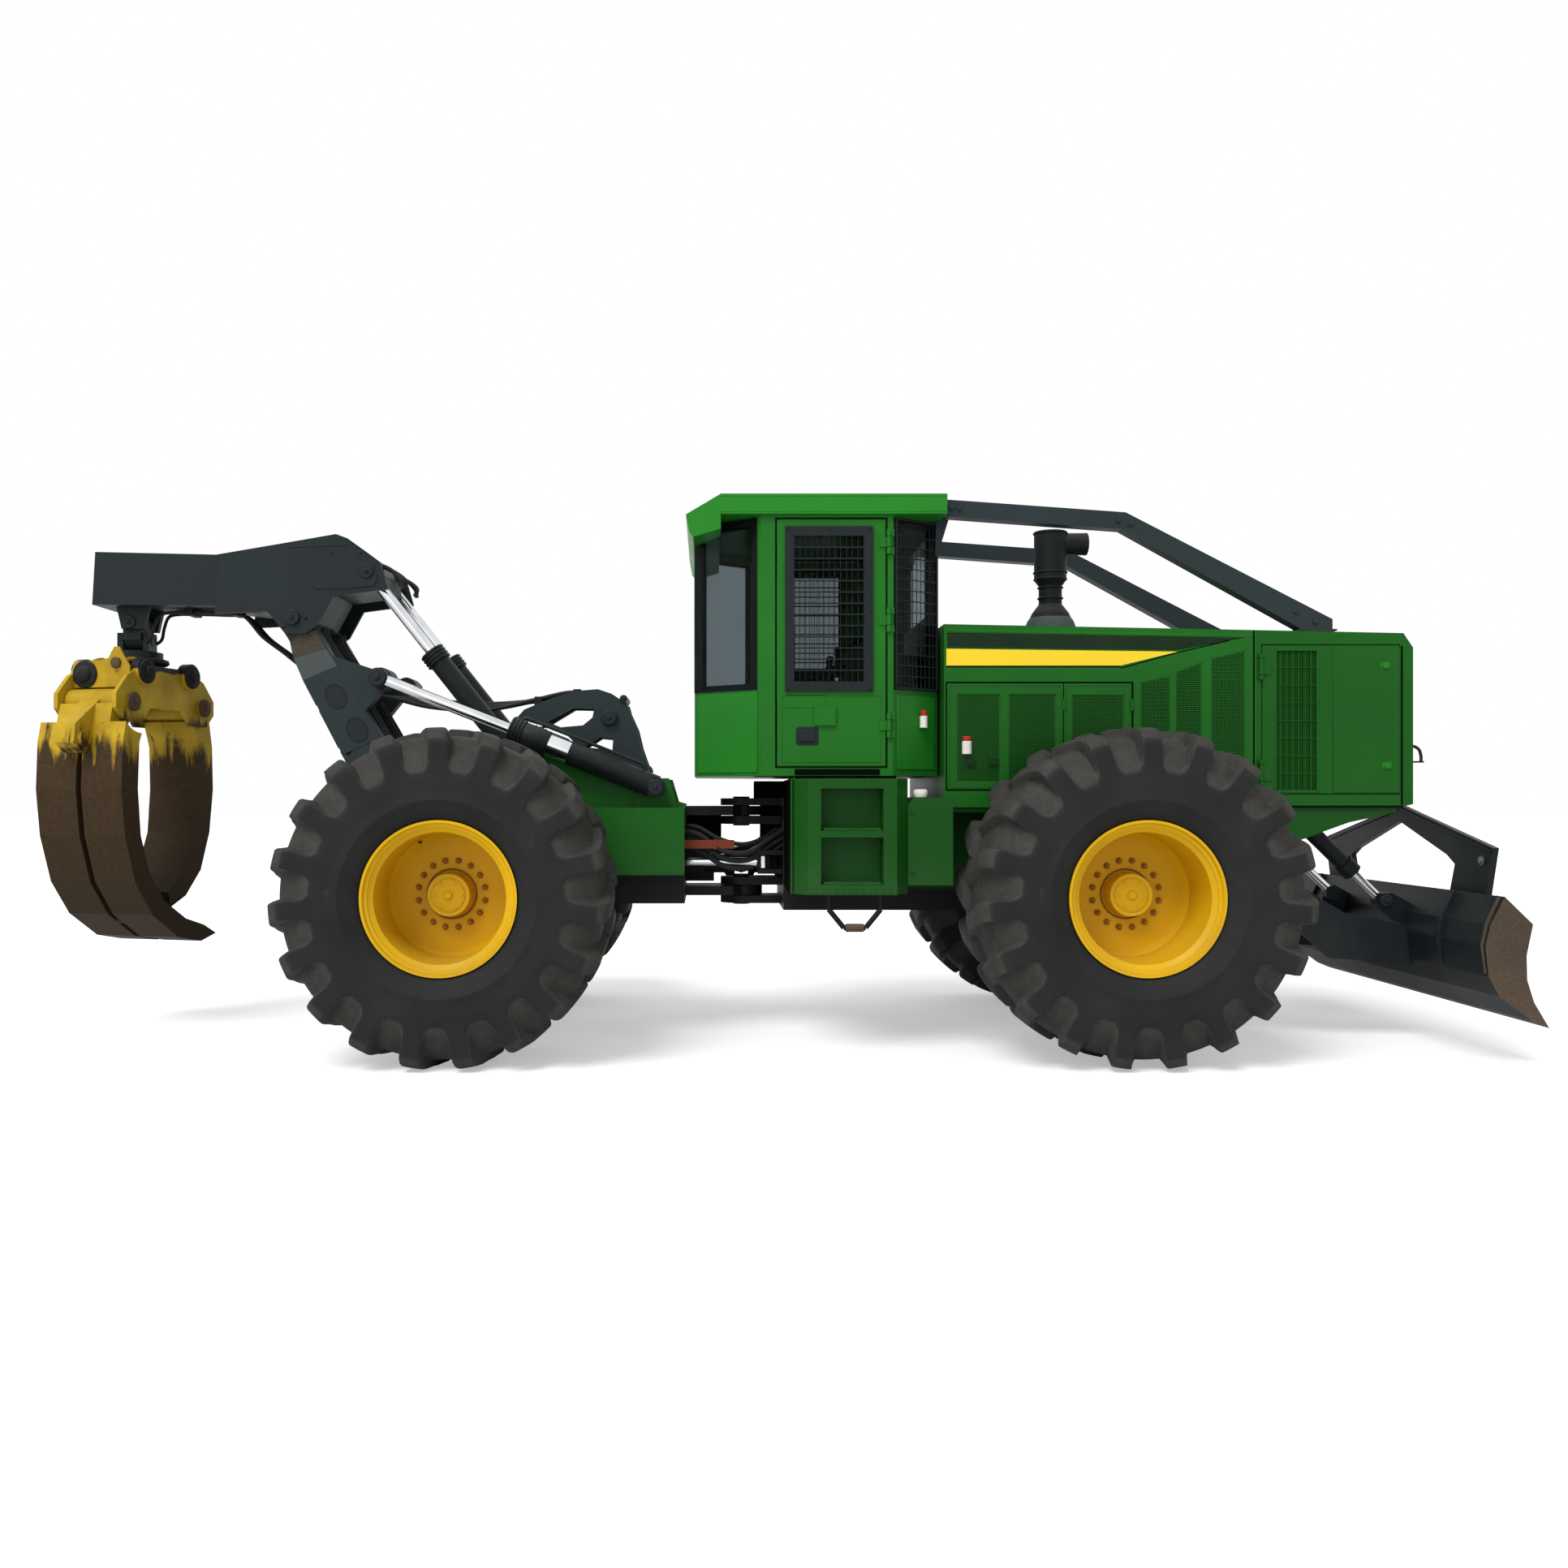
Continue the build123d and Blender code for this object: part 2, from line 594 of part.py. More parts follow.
def write_boom():
    """The boom: a bent box beam with a bracket for the arch pin and ears at both ends."""
    outline = [
        (-2530, 2814),
        (-2510, 3161),
        (-1715, 3143),
        (-925, 3278),
        (-850, 3250),
        (-632, 3090),
        (-600, 2925),
        (-941, 2880),
        (-1043, 2690),
        (-1110, 2615),
        (-1230, 2615),
        (-1368, 2771),
        (-1742, 2809),
    ]
    body = side_plate(outline, -BOOM_Y, BOOM_Y)
    body = body + pin_y(ARCH_TOP, 98, -BOOM_Y, BOOM_Y)
    eye_face = BOOM_CYL_Y - EYE_HALF_WIDTH - CLEARANCE
    body = body + pin_y(BOOM_CYL_EYE, 78, -eye_face, eye_face)
    body = body - pin_y(ARCH_TOP, 45 + RUNNING_GAP, -BOOM_Y - 5, BOOM_Y + 5)
    ear = side_plate([(-2420, 2820), (-2200, 2820), (-2235, 2670), (-2385, 2670)], 96, 136)
    for piece in both_sides(ear):
        body = body + piece
    body = body + pin_y(CROSSHEAD_PIN, 40, -136, 136)
    # The outer plates, which hold the arch pin's ends and the cylinder pins, on blocks beside the beam
    cheek = side_plate([
        (-1640, 3118),
        (-884, 3250),
        (-821, 3208),
        (-596, 3055),
        (-549, 2893),
        (-900, 2846),
        (-1000, 2662),
        (-1085, 2605),
        (-1215, 2605),
        (-1330, 2751),
        (-1671, 2735),
    ], CHEEK_Y0, CHEEK_Y1)
    cheek = cheek - pin_y(ARCH_TOP, 45 + RUNNING_GAP, CHEEK_Y0 - 5, CHEEK_Y1 + 5)
    cheek = cheek + block((-1600, -1480), (BOOM_Y - 5, CHEEK_Y0 + 5), (2830, 3060))
    cheek = cheek + block((-1120, -1040), (BOOM_Y - 5, CHEEK_Y0 + 5), (3090, 3190))
    write("boom", fuse([body] + both_sides(cheek)))


def write_grapple():
    """The crosshead, the swing yoke below it, the rotating head and its two tongs."""
    x, z = CROSSHEAD_PIN
    crosshead = pin_y(CROSSHEAD_PIN, 75, -88, 88) + block((x - 60, x + 60), (-88, 88), (z - 115, z))
    crosshead = crosshead - pin_y(CROSSHEAD_PIN, 40 + RUNNING_GAP, -100, 100)
    low_pin = Pos(x, 0, z - 115) * Rot(0, 90, 0)
    crosshead = crosshead + low_pin * Cylinder(62, 120)
    crosshead = crosshead - low_pin * Cylinder(32 + RUNNING_GAP, 140)
    write("crosshead", crosshead)
    yoke = low_pin * Cylinder(32, 220)
    for cheek_x in ((-106, -66), (66, 106)):
        yoke = yoke + Pos(x, 0, z - 115) * block(cheek_x, (-70, 70), (-90, 50))
    yoke = yoke + Pos(x, 0, z - 235) * Cylinder(165, 80)
    yoke = yoke + Pos(x, 0, z - 192) * Cylinder(118, 14)
    yoke = yoke + pin_z((x, 0), 60, HEAD_TOP_Z - 85, z - 235)
    write("rotator", yoke)
    place = Pos(x, 0, 0) * Rot(0, 0, GRAPPLE_TURN)
    write("grapple_head", place * grapple_head())
    # Each tong's outline as distance out from the middle and height: the outer curve down to the tip,
    # then the inner curve back up. The rear tong's tip passes under the front tong's
    rear = [
        (500, 2150),
        (560, 1900),
        (575, 1600),
        (540, 1300),
        (440, 1000),
        (270, 780),
        (0, 610),
        (-250, 560),
        (-420, 600),
        (-280, 670),
        (-80, 730),
        (140, 860),
        (300, 1060),
        (385, 1300),
        (415, 1600),
        (400, 1900),
        (330, 2070),
    ]
    front = [
        (500, 2150),
        (550, 1900),
        (560, 1600),
        (520, 1300),
        (420, 1040),
        (250, 870),
        (80, 800),
        (60, 905),
        (160, 980),
        (290, 1110),
        (370, 1300),
        (400, 1600),
        (390, 1900),
        (330, 2070),
    ]
    write("tong_rear", place * tong(rear, -1, (20, 320)))
    write("tong_front", place * tong(front, 1, (0, TONG_EAR_Y)))


def grapple_head():
    """The head: a round top under the rotator, a cross plate and two side plates with the tongs' pins."""
    head = pin_z((0, 0), 150, HEAD_TOP_Z - 90, HEAD_TOP_Z)
    u, z = TONG_PIN_U, TONG_PIN_Z
    half = [
        (240, HEAD_TOP_Z - 25),
        (u + 25, z + 175),
        (u + 140, z + 50),
        (u + 140, z - 45),
        (u + 55, z - 130),
        (u - 120, z - 130),
        (u - 200, z - 30),
    ]
    outline = half + [(-x, height) for x, height in reversed(half)]
    y_low, y_high = HEAD_PLATE_Y
    for plate in both_sides(side_plate(outline, y_low, y_high)):
        head = head + plate
    head = head + block((-330, 330), (-y_low - 5, y_low + 5), (HEAD_TOP_Z - 90, HEAD_TOP_Z - 60))
    for sign in (-1, 1):
        head = head + pin_y((sign * u, z), TONG_PIN_R, -y_high - 22, y_high + 22)
        for boss in both_sides(pin_y((sign * 240, HEAD_TOP_Z - 69), 90, y_low - 10, y_high + 20)):
            head = head + boss
    return head - pin_z((0, 0), 60 + RUNNING_GAP, HEAD_TOP_Z - 95, HEAD_TOP_Z + 5)


def tong(outline, sign, width):
    """A tong of curved plates between two distances from its middle, with its hinge tube and cylinder ear."""
    points = [(sign * u, height) for u, height in outline]
    pieces = both_sides(side_plate(points, *width)) if width[0] else [side_plate(points, -width[1], width[1])]
    # The wide plates narrow to pass between the head's plates
    swept = pin_y((sign * TONG_PIN_U, TONG_PIN_Z), 205, TONG_EAR_Y, 400)
    pieces = [piece - swept - mirror(swept, about=Plane.XZ) for piece in pieces]
    hinge = (sign * TONG_PIN_U, TONG_PIN_Z)
    pieces.append(pin_y(hinge, 85, -TONG_EAR_Y, TONG_EAR_Y))
    ear = [(TONG_PIN_U, 2240), (690, 2010), (700, 1890), (620, 1830), (500, 1840), (TONG_PIN_U, 2080)]
    pieces.append(side_plate([(sign * u, height) for u, height in ear], -70, 70))
    pieces.append(pin_y((sign * 620, 1920), 52, -95, 95))
    if width[0]:
        for place in ((480, 1600), (150, 750)):
            pieces.append(pin_y((sign * place[0], place[1]), 40, -60, 60))
    bore = pin_y(hinge, TONG_PIN_R + RUNNING_GAP, -400, 400)
    return fuse(pieces) - bore


def write_blade():
    """The blade with its curved front, its guard frame above and its two push arms."""
    half = BLADE_WIDTH / 2
    section = [
        (6349, 223),
        (6262, 370),
        (6222, 500),
        (6219, 640),
        (6256, 819),
        (6093, 978),
        (6010, 815),
        (5982, 694),
        (6000, 520),
        (6061, 405),
        (6256, 262),
    ]
    pieces = [side_plate(section, -half, half)]
    guard = [(-1016, 820), (-1129, 1246), (0, 1495), (1129, 1246), (1016, 820)]
    opening = [(-590, 810), (-700, 1130), (-605, 1185), (0, 1385), (605, 1185), (700, 1130), (590, 810)]
    pieces.append(cross_plate(guard, 6190, 6225) - cross_plate(opening, 6180, 6240))
    arm = [(5080, 880), (5150, 830), (5500, 520), (6030, 480), (6030, 720), (5600, 800), (5240, 1020), (5120, 1050)]
    for arm_plate in both_sides(side_plate(arm, 455, 515) + pin_y(BLADE_PIVOT, 105, 440, 530)):
        pieces.append(arm_plate)
    eye_ear = side_plate([(5850, 820), (5850, 930), (5930, 930), (6060, 860), (6060, 740), (5960, 740)], 402, 432)
    for piece in both_sides(eye_ear):
        pieces.append(piece)
    hole = pin_y(BLADE_PIVOT, 50 + RUNNING_GAP, -600, 600)
    write("blade", fuse(pieces) - hole)


def cab_plan(inset):
    """The cab's plan, moved in by a wall: narrow at the rear and at the front, wide at the doors."""
    half = [
        (CAB_REAR_X, CAB_REAR_Y),
        (CAB_SIDE_X0, CAB_SIDE_Y),
        (CAB_SIDE_X1, CAB_SIDE_Y),
        (CAB_FRONT_X, CAB_NOSE_Y),
    ]
    outline = half + [(x, -y) for x, y in reversed(half)]
    face = make_face(Polyline(*outline, close=True))
    if inset == 0:
        return face
    return offset(face, -inset, kind=Kind.INTERSECTION).faces()[0]


def wall_box(start, end, margin, depth, z_low, z_high):
    """A box across an upright wall that runs between two points of the plan, less a margin at each end."""
    length = math.dist(start, end) - 2 * margin
    turn = math.degrees(math.atan2(end[1] - start[1], end[0] - start[0]))
    middle = ((start[0] + end[0]) / 2, (start[1] + end[1]) / 2, (z_low + z_high) / 2)
    return Pos(*middle) * Rot(0, 0, turn) * Box(length, depth, z_high - z_low)


def cab_windows():
    """Every fixed window, as start and end in plan, margin, and lowest and highest edge."""
    rear = (CAB_REAR_X, CAB_REAR_Y)
    post = (CAB_SIDE_X0, CAB_SIDE_Y)
    front_post = (CAB_SIDE_X1, CAB_SIDE_Y)
    nose = (CAB_FRONT_X, CAB_NOSE_Y)
    table = [
        ((CAB_REAR_X, -CAB_REAR_Y), rear, 90, WINDOW_Z0, GLASS_Z1 - 60),
        ((CAB_FRONT_X, -CAB_NOSE_Y), nose, 90, HOOD_TOP_REAR + 74, GLASS_Z1 - 40),
    ]
    for sign in (1, -1):
        table.append(((rear[0], sign * rear[1]), (post[0], sign * post[1]), 50, WINDOW_Z0, GLASS_Z1))
        table.append(((front_post[0], sign * front_post[1]), (nose[0], sign * nose[1]), 55, WINDOW_Z0, GLASS_Z1))
    return table


def write_cab():
    """The hollow cab with its windows and door openings cut, its roof, panes, doors and their windows."""
    shell = Pos(0, 0, CAB_FLOOR_Z) * extrude(cab_plan(0), CAB_TOP_Z - CAB_FLOOR_Z)
    inside = Pos(0, 0, CAB_FLOOR_Z + CAB_WALL) * extrude(cab_plan(CAB_WALL), CAB_TOP_Z - CAB_FLOOR_Z)
    shell = shell - inside
    panes = []
    for start, end, margin, z_low, z_high in cab_windows():
        shell = shell - wall_box(start, end, margin, 160, z_low, z_high)
        turn = math.atan2(end[1] - start[1], end[0] - start[0])
        out = (math.sin(turn), -math.cos(turn))
        middle = ((start[0] + end[0]) / 2, (start[1] + end[1]) / 2)
        if out[0] * (middle[0] - 2200) + out[1] * middle[1] < 0:
            out = (-out[0], -out[1])
        shift = Pos(-out[0] * 25, -out[1] * 25, 0)
        panes.append(shift * wall_box(start, end, margin + 0.3, PANE_T, z_low + 0.3, z_high - 0.3))
    for sign in (1, -1):
        y = sorted((sign * (CAB_SIDE_Y - 120), sign * (CAB_SIDE_Y + 20)))
        shell = shell - block((DOOR_X0, DOOR_X1), y, (DOOR_Z0, DOOR_Z1))
    hinge_x, hinge_y = DOOR_HINGE
    shell_hinges = []
    for z in DOOR_HINGE_HEIGHTS:
        for z_low, z_high in ((z - 75, z - 36), (z + 36, z + 75)):
            knuckle = pin_z(DOOR_HINGE, 15, z_low, z_high)
            leaf = block((hinge_x, hinge_x + 34), (CAB_SIDE_Y, CAB_SIDE_Y + 8), (z_low, z_high))
            shell_hinges.extend(both_sides(knuckle + leaf))
        shell_hinges.extend(both_sides(pin_z(DOOR_HINGE, 8, z - 75, z + 75)))
    write("cab_shell", fuse([shell] + shell_hinges))
    write("cab_windows", *panes)
    roof_half = [
        (1377, 420),
        (1500, 640),
        (CAB_SIDE_X0 - 20, CAB_SIDE_Y + ROOF_LIP),
        (CAB_SIDE_X1 + 30, CAB_SIDE_Y + ROOF_LIP),
        (CAB_FRONT_X + 30, CAB_NOSE_Y + 60),
    ]
    roof_plan = roof_half + [(x, -y) for x, y in reversed(roof_half)]
    roof = flat_plate(roof_plan, ROOF_Z0, ROOF_Z1)
    pocket_plan = offset(cab_plan(0), 4, kind=Kind.INTERSECTION).faces()[0]
    pocket = Pos(0, 0, ROOF_Z0 - 10) * extrude(pocket_plan, CAB_TOP_Z - ROOF_Z0 + 10)
    # The rear visor, sloping in towards its lower edge, and its wings beside the rear windows
    top = ROOF_Z0 + 20
    visor = side_plate([(1377, top), (1397, top), (1428, ROOF_Z0 - 143), (1408, ROOF_Z0 - 143)], -440, 440)
    wing = flat_plate([(1377, 420), (1500, 640), (1510, 634), (1387, 414)], ROOF_Z0 - 90, top)
    write("cab_roof", fuse([roof - pocket, visor] + both_sides(wing)))
    for side, sign in (("left", 1), ("right", -1)):
        y_out = CAB_SIDE_Y
        panel = block((DOOR_X0 + DOOR_GAP, DOOR_X1 - DOOR_GAP), (y_out - CAB_WALL, y_out),
                      (DOOR_Z0 + DOOR_GAP, DOOR_Z1 - DOOR_GAP))
        panel = panel - block((2030, 2500), (y_out - 80, y_out + 20), (WINDOW_Z0 + 5, DOOR_Z1 - 85))
        for z in DOOR_HINGE_HEIGHTS:
            knuckle = pin_z(DOOR_HINGE, 15, z - 31, z + 31)
            leaf = block((hinge_x - 60, DOOR_X1 - DOOR_GAP), (y_out, y_out + 8), (z - 31, z + 31))
            strap = block((DOOR_X1 - DOOR_GAP, hinge_x), (y_out + 1, y_out + 8), (z - 31, z + 31))
            panel = panel + knuckle + leaf + strap
            panel = panel - pin_z(DOOR_HINGE, 8 + RUNNING_GAP, z - 40, z + 40)
        panel = panel + block((2175, 2305), (y_out - 1, y_out + 22), (1990, 2105))
        window = block((2030.3, 2499.7), (y_out - 45, y_out - 37), (WINDOW_Z0 + 5.3, DOOR_Z1 - 85.3))
        guard = block((1995, 2535), (y_out, y_out + 21), (WINDOW_Z0 - 30, DOOR_Z1 - 50))
        guard = guard - block((2050, 2480), (y_out - 10, y_out + 30), (WINDOW_Z0 + 30, DOOR_Z1 - 110))
        wire_step = (DOOR_Z1 - 110 - WINDOW_Z0 - 30) / (GUARD_WIRES + 1)
        for index in range(GUARD_WIRES):
            z = WINDOW_Z0 + 30 + (index + 1) * wire_step
            guard = guard + block((2045, 2485), (y_out + 6, y_out + 16), (z - 4, z + 4))
        shapes = [panel, Compound(children=[window, guard])]
        if sign < 0:
            shapes = [mirror(shape, about=Plane.XZ) for shape in shapes]
        write(f"cab_door_{side}", shapes[0])
        write(f"door_window_{side}", shapes[1])
    seat = block((1980, 2440), (-240, 240), (2020, 2140)) + block((1900, 2010), (-230, 230), (2100, 2760))
    seat = seat + block((2080, 2340), (-160, 160), (CAB_FLOOR_Z + CAB_WALL, 2025))
    console = block((2640, 2900), (-260, 260), (CAB_FLOOR_Z + CAB_WALL, 2480))
    write("operator_station", seat, console)


def write_hood():
    """The hood over the engine, the cooler housing with its grille and its two side doors."""
    outer = side_plate([(HOOD_X0, DECK_Z), (HOOD_X0, top_of_hood(HOOD_X0)), (HOOD_X1, top_of_hood(HOOD_X1)),
                        (HOOD_X1, DECK_Z)], -HOOD_HALF_WIDTH, HOOD_HALF_WIDTH)
    wall = HOOD_WALL
    inner = side_plate([(HOOD_X0 + wall, DECK_Z - 1), (HOOD_X0 + wall, top_of_hood(HOOD_X0) - wall),
                        (HOOD_X1 - wall, top_of_hood(HOOD_X1) - wall), (HOOD_X1 - wall, DECK_Z - 1)],
                       wall - HOOD_HALF_WIDTH, HOOD_HALF_WIDTH - wall)
    hood = outer - inner
    # Sunk grille panels as X range and height of the two top corners, and the louvre strip above them
    skin = HOOD_HALF_WIDTH - PANEL_DEPTH
    for x_low, x_high, top_low, top_high in HOOD_PANELS:
        corners = [(x_low, 1640), (x_high, 1640), (x_high, top_high), (x_low, top_low)]
        for panel in both_sides(side_plate(corners, skin, HOOD_HALF_WIDTH + 5)):
            hood = hood - panel
    for strip in both_sides(side_plate(LOUVRE_STRIP, skin, HOOD_HALF_WIDTH + 5)):
        hood = hood - strip
    write("hood", hood)
    write_stack(outer)
    x0 = HOOD_X1 + 0.3
    front = side_plate([(x0, DECK_Z), (x0, top_of_hood(x0)), (HOOD_FRONT_X - 60, top_of_hood(HOOD_FRONT_X)),
                        (HOOD_FRONT_X, top_of_hood(HOOD_FRONT_X) - 90), (HOOD_FRONT_X, DECK_Z + 20),
                        (HOOD_FRONT_X - 90, DECK_Z)], -HOOD_HALF_WIDTH, HOOD_HALF_WIDTH)
    space = block((x0 + wall, HOOD_FRONT_X - 60), (wall - HOOD_HALF_WIDTH, HOOD_HALF_WIDTH - wall),
                  (DECK_Z + 30, 2500))
    front = front - space
    front = front - block((COOLER_DOOR_X0, COOLER_DOOR_X1), (-900, 900), (COOLER_DOOR_Z0, COOLER_DOOR_Z1))
    front = front - block((HOOD_FRONT_X - 100, HOOD_FRONT_X + 10), (-560, 560), (1600, 2440))
    for index in range(13):
        z = 1625 + index * 64
        front = front + block((HOOD_FRONT_X - 50, HOOD_FRONT_X - 20), (-565, 565), (z, z + 22))
    hinge_x, hinge_y = COOLER_HINGE
    for z in COOLER_HINGE_HEIGHTS:
        for z_low, z_high in ((z - 80, z - 55), (z + 55, z + 80)):
            leaf = block((hinge_x - 18, hinge_x), (HOOD_HALF_WIDTH - 1, hinge_y), (z_low, z_high))
            front = fuse([front] + both_sides(pin_z(COOLER_HINGE, 14, z_low, z_high) + leaf))
        front = fuse([front] + both_sides(pin_z(COOLER_HINGE, 7, z - 80, z + 80)))
    write("cooler_housing", front)
    door = block((COOLER_DOOR_X0 + DOOR_GAP, COOLER_DOOR_X1 - DOOR_GAP),
                 (HOOD_HALF_WIDTH - wall, HOOD_HALF_WIDTH),
                 (COOLER_DOOR_Z0 + DOOR_GAP, COOLER_DOOR_Z1 - DOOR_GAP))
    edge = COOLER_DOOR_X0 + DOOR_GAP
    for z in COOLER_HINGE_HEIGHTS:
        door = door + pin_z(COOLER_HINGE, 14, z - 50, z + 50)
        door = door + block((hinge_x, edge), (HOOD_HALF_WIDTH + 1, HOOD_HALF_WIDTH + 8), (z - 50, z + 50))
        door = door + block((edge, edge + 50), (HOOD_HALF_WIDTH, HOOD_HALF_WIDTH + 8), (z - 50, z + 50))
        door = door - pin_z(COOLER_HINGE, 7 + RUNNING_GAP, z - 55, z + 55)
    # The door's grille window with upright bars
    bottom, top = COOLER_DOOR_Z0 + 15, COOLER_DOOR_Z1 - 15
    door = door - block((5050, 5318), (HOOD_HALF_WIDTH - 50, HOOD_HALF_WIDTH + 10), (bottom, top - 15))
    for index in range(6):
        x = 5050 + (index + 1) * 268 / 7
        door = door + block((x - 7, x + 7), (HOOD_HALF_WIDTH - 26, HOOD_HALF_WIDTH - 12), (bottom - 5, top - 10))
    write("cooler_door_left", door)
    write("cooler_door_right", mirror(door, about=Plane.XZ))
    write("engine_block", block((3250, 4450), (-380, 380), (DECK_Z, 2250)))
    write("cooler_core", block((5560, 5640), (-560, 560), (DECK_Z + 30, 2420)))


def write_guards():
    """The two bars from the cab's roof down to the hood."""
    spine = [(3001, 3350), (4110, 3270), (5350, 2615)]
    t = GUARD_BAR / 2
    outline = [
        (spine[0][0], spine[0][1] + t),
        (spine[1][0] + 12, spine[1][1] + t),
        (spine[2][0] + 60, spine[2][1] + t - 10),
        (spine[2][0] + 60, top_of_hood(spine[2][0] + 60)),
        (spine[2][0] - 110, top_of_hood(spine[2][0] - 110)),
        (spine[1][0] - 12, spine[1][1] - t),
        (spine[0][0], spine[0][1] - t),
    ]
    bar = side_plate(outline, GUARD_Y - t, GUARD_Y + t)
    write("guard_bars", *both_sides(bar))


def write_stack(hood_solid):
    """The exhaust stack, seated on the hood's top."""
    base_z = top_of_hood(STACK_X) - 6
    section = [
        (0, base_z),
        (160, base_z),
        (160, base_z + 66),
        (120, base_z + 156),
        (75, base_z + 216),
        (75, base_z + 336),
        (105, base_z + 376),
        (105, 3300),
        (0, 3300),
    ]
    stack = Pos(STACK_X, STACK_Y, 0) * Rot(90, 0, 0) * revolve(make_face(Polyline(*section, close=True)), Axis.Y, 360)
    stack = stack + bar_between((STACK_X, STACK_Y, 3220), (STACK_X + 170, STACK_Y, 3220), 72)
    write("exhaust_stack", stack - hood_solid)


def top_of_hood(x):
    """The height of the hood's top at a place along the machine."""
    fall = (HOOD_TOP_REAR - HOOD_TOP_FRONT) / (HOOD_FRONT_X - HOOD_X0)
    return HOOD_TOP_REAR - (x - HOOD_X0) * fall


def write_side_boxes():
    """A step box and a tank on each side of the front frame, with a hanging loop step."""
    inner = FRAME_HALF_WIDTH
    step = flat_plate([(STEP_X0, inner), (STEP_X0, 1080), (STEP_X0 + 80, 1170), (TANK_X0 - 75, 1170),
                       (TANK_X0, 1080), (TANK_X0, inner)], 969, 1660)
    for z_low, z_high in ((1350, 1600), (1030, 1310)):
        step = step - block((STEP_X0 + 160, TANK_X0 - 155), (1010, 1200), (z_low, z_high))
    tank = side_plate([(TANK_X0, 1022), (TANK_X1, 1022), (TANK_X1, 1545), (TANK_X0 + 45, 1545), (TANK_X0, 1500)],
                      inner, 1090)
    loop = fuse([
        bar_between((2240, 1110, 975), (2240, 1110, 880), 16),
        bar_between((2240, 1110, 880), (2330, 1110, 770), 16),
        bar_between((2330, 1110, 770), (2460, 1110, 770), 16),
        bar_between((2460, 1110, 770), (2550, 1110, 880), 16),
        bar_between((2550, 1110, 880), (2550, 1110, 975), 16),
    ])
    write("side_boxes", *both_sides(fuse([step, tank, loop])))


def write_lock_bar():
    """The red bar that locks the frame hinge, stowed on the rear frame."""
    bar = block((REAR_WALL_X, 1690), (-385, -345), (1215, 1270))
    write("lock_bar", bar + block((1560, 1575), (-390, -340), (1210, 1275)))


os.makedirs("parts", exist_ok=True)
write_wheels()
write("front_axle", axle(WHEELBASE))
write("rear_axle", axle(0))
write_rear_frame()
write_front_frame()
for row in CYLINDERS:
    write_cylinder_pair(*row)
write_steering()
write_tower()
write_arch()
write_boom()
write_grapple()
write_blade()
write_cab()
write_hood()
write_guards()
write_side_boxes()
write_lock_bar()
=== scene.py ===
"""The finish of a grapple skidder: paints, rubber, glass, screens, bolts, hoses and trim on its solids."""

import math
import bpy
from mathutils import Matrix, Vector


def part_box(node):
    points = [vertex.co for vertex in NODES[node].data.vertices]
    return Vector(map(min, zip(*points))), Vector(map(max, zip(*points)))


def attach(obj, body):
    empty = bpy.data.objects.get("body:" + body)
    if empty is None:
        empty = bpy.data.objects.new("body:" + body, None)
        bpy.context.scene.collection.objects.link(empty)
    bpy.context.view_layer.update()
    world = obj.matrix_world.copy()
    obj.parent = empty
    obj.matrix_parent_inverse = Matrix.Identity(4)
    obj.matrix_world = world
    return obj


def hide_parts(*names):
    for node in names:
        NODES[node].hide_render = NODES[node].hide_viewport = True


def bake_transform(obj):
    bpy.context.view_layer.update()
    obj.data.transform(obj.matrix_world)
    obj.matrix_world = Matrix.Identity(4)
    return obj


bl_info = {
    "name": "Grapple Skidder Finish",
    "version": (1, 0, 0),
    "blender": (4, 5, 0),
    "location": "View3D > Sidebar > Skidder",
    "description": "Builds the paints, screens, fasteners, hoses and trim of a four-wheel grapple skidder",
    "category": "Object",
}

import bmesh
import bpy
import numpy
from mathutils import Matrix, Vector

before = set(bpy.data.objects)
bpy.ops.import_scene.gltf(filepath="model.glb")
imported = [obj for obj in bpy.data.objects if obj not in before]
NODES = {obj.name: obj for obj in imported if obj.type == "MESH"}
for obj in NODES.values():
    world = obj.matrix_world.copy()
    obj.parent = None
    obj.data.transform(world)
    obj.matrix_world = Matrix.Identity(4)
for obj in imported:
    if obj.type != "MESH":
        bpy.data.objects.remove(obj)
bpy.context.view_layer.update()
RIM_LOW, RIM_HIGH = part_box("rim_rear_left")
AXLE_X = (RIM_LOW.x + RIM_HIGH.x) / 2
AXLE_Z = (RIM_LOW.z + RIM_HIGH.z) / 2
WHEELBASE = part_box("rim_front_left")[0].x - RIM_LOW.x
WHEEL_Y = (RIM_LOW.y + RIM_HIGH.y) / 2
TYRE_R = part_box("tyre_rear_left")[1].x - AXLE_X
HOOD_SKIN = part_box("hood")[1].y
CAB_Y = 0.830
LUGS = 19


class SkidderSizes(bpy.types.PropertyGroup):
    """Sizes that a user may change."""

    wire_pitch: bpy.props.FloatProperty(
        name="Window wire pitch", description="Distance between the wires of the window guards",
        default=0.067, min=0.02, max=0.2, unit="LENGTH")
    screen_pitch: bpy.props.FloatProperty(
        name="Hood screen pitch", description="Distance between the strands of the hood's screens",
        default=0.013, min=0.008, max=0.06, unit="LENGTH")
    hose_radius: bpy.props.FloatProperty(
        name="Hose radius", description="Radius of the hydraulic hoses", default=0.014, min=0.006, max=0.03,
        unit="LENGTH")
    edge_round: bpy.props.FloatProperty(
        name="Edge rounding", description="Width of the bevel on plate edges", default=0.004, min=0.0,
        max=0.02, unit="LENGTH")


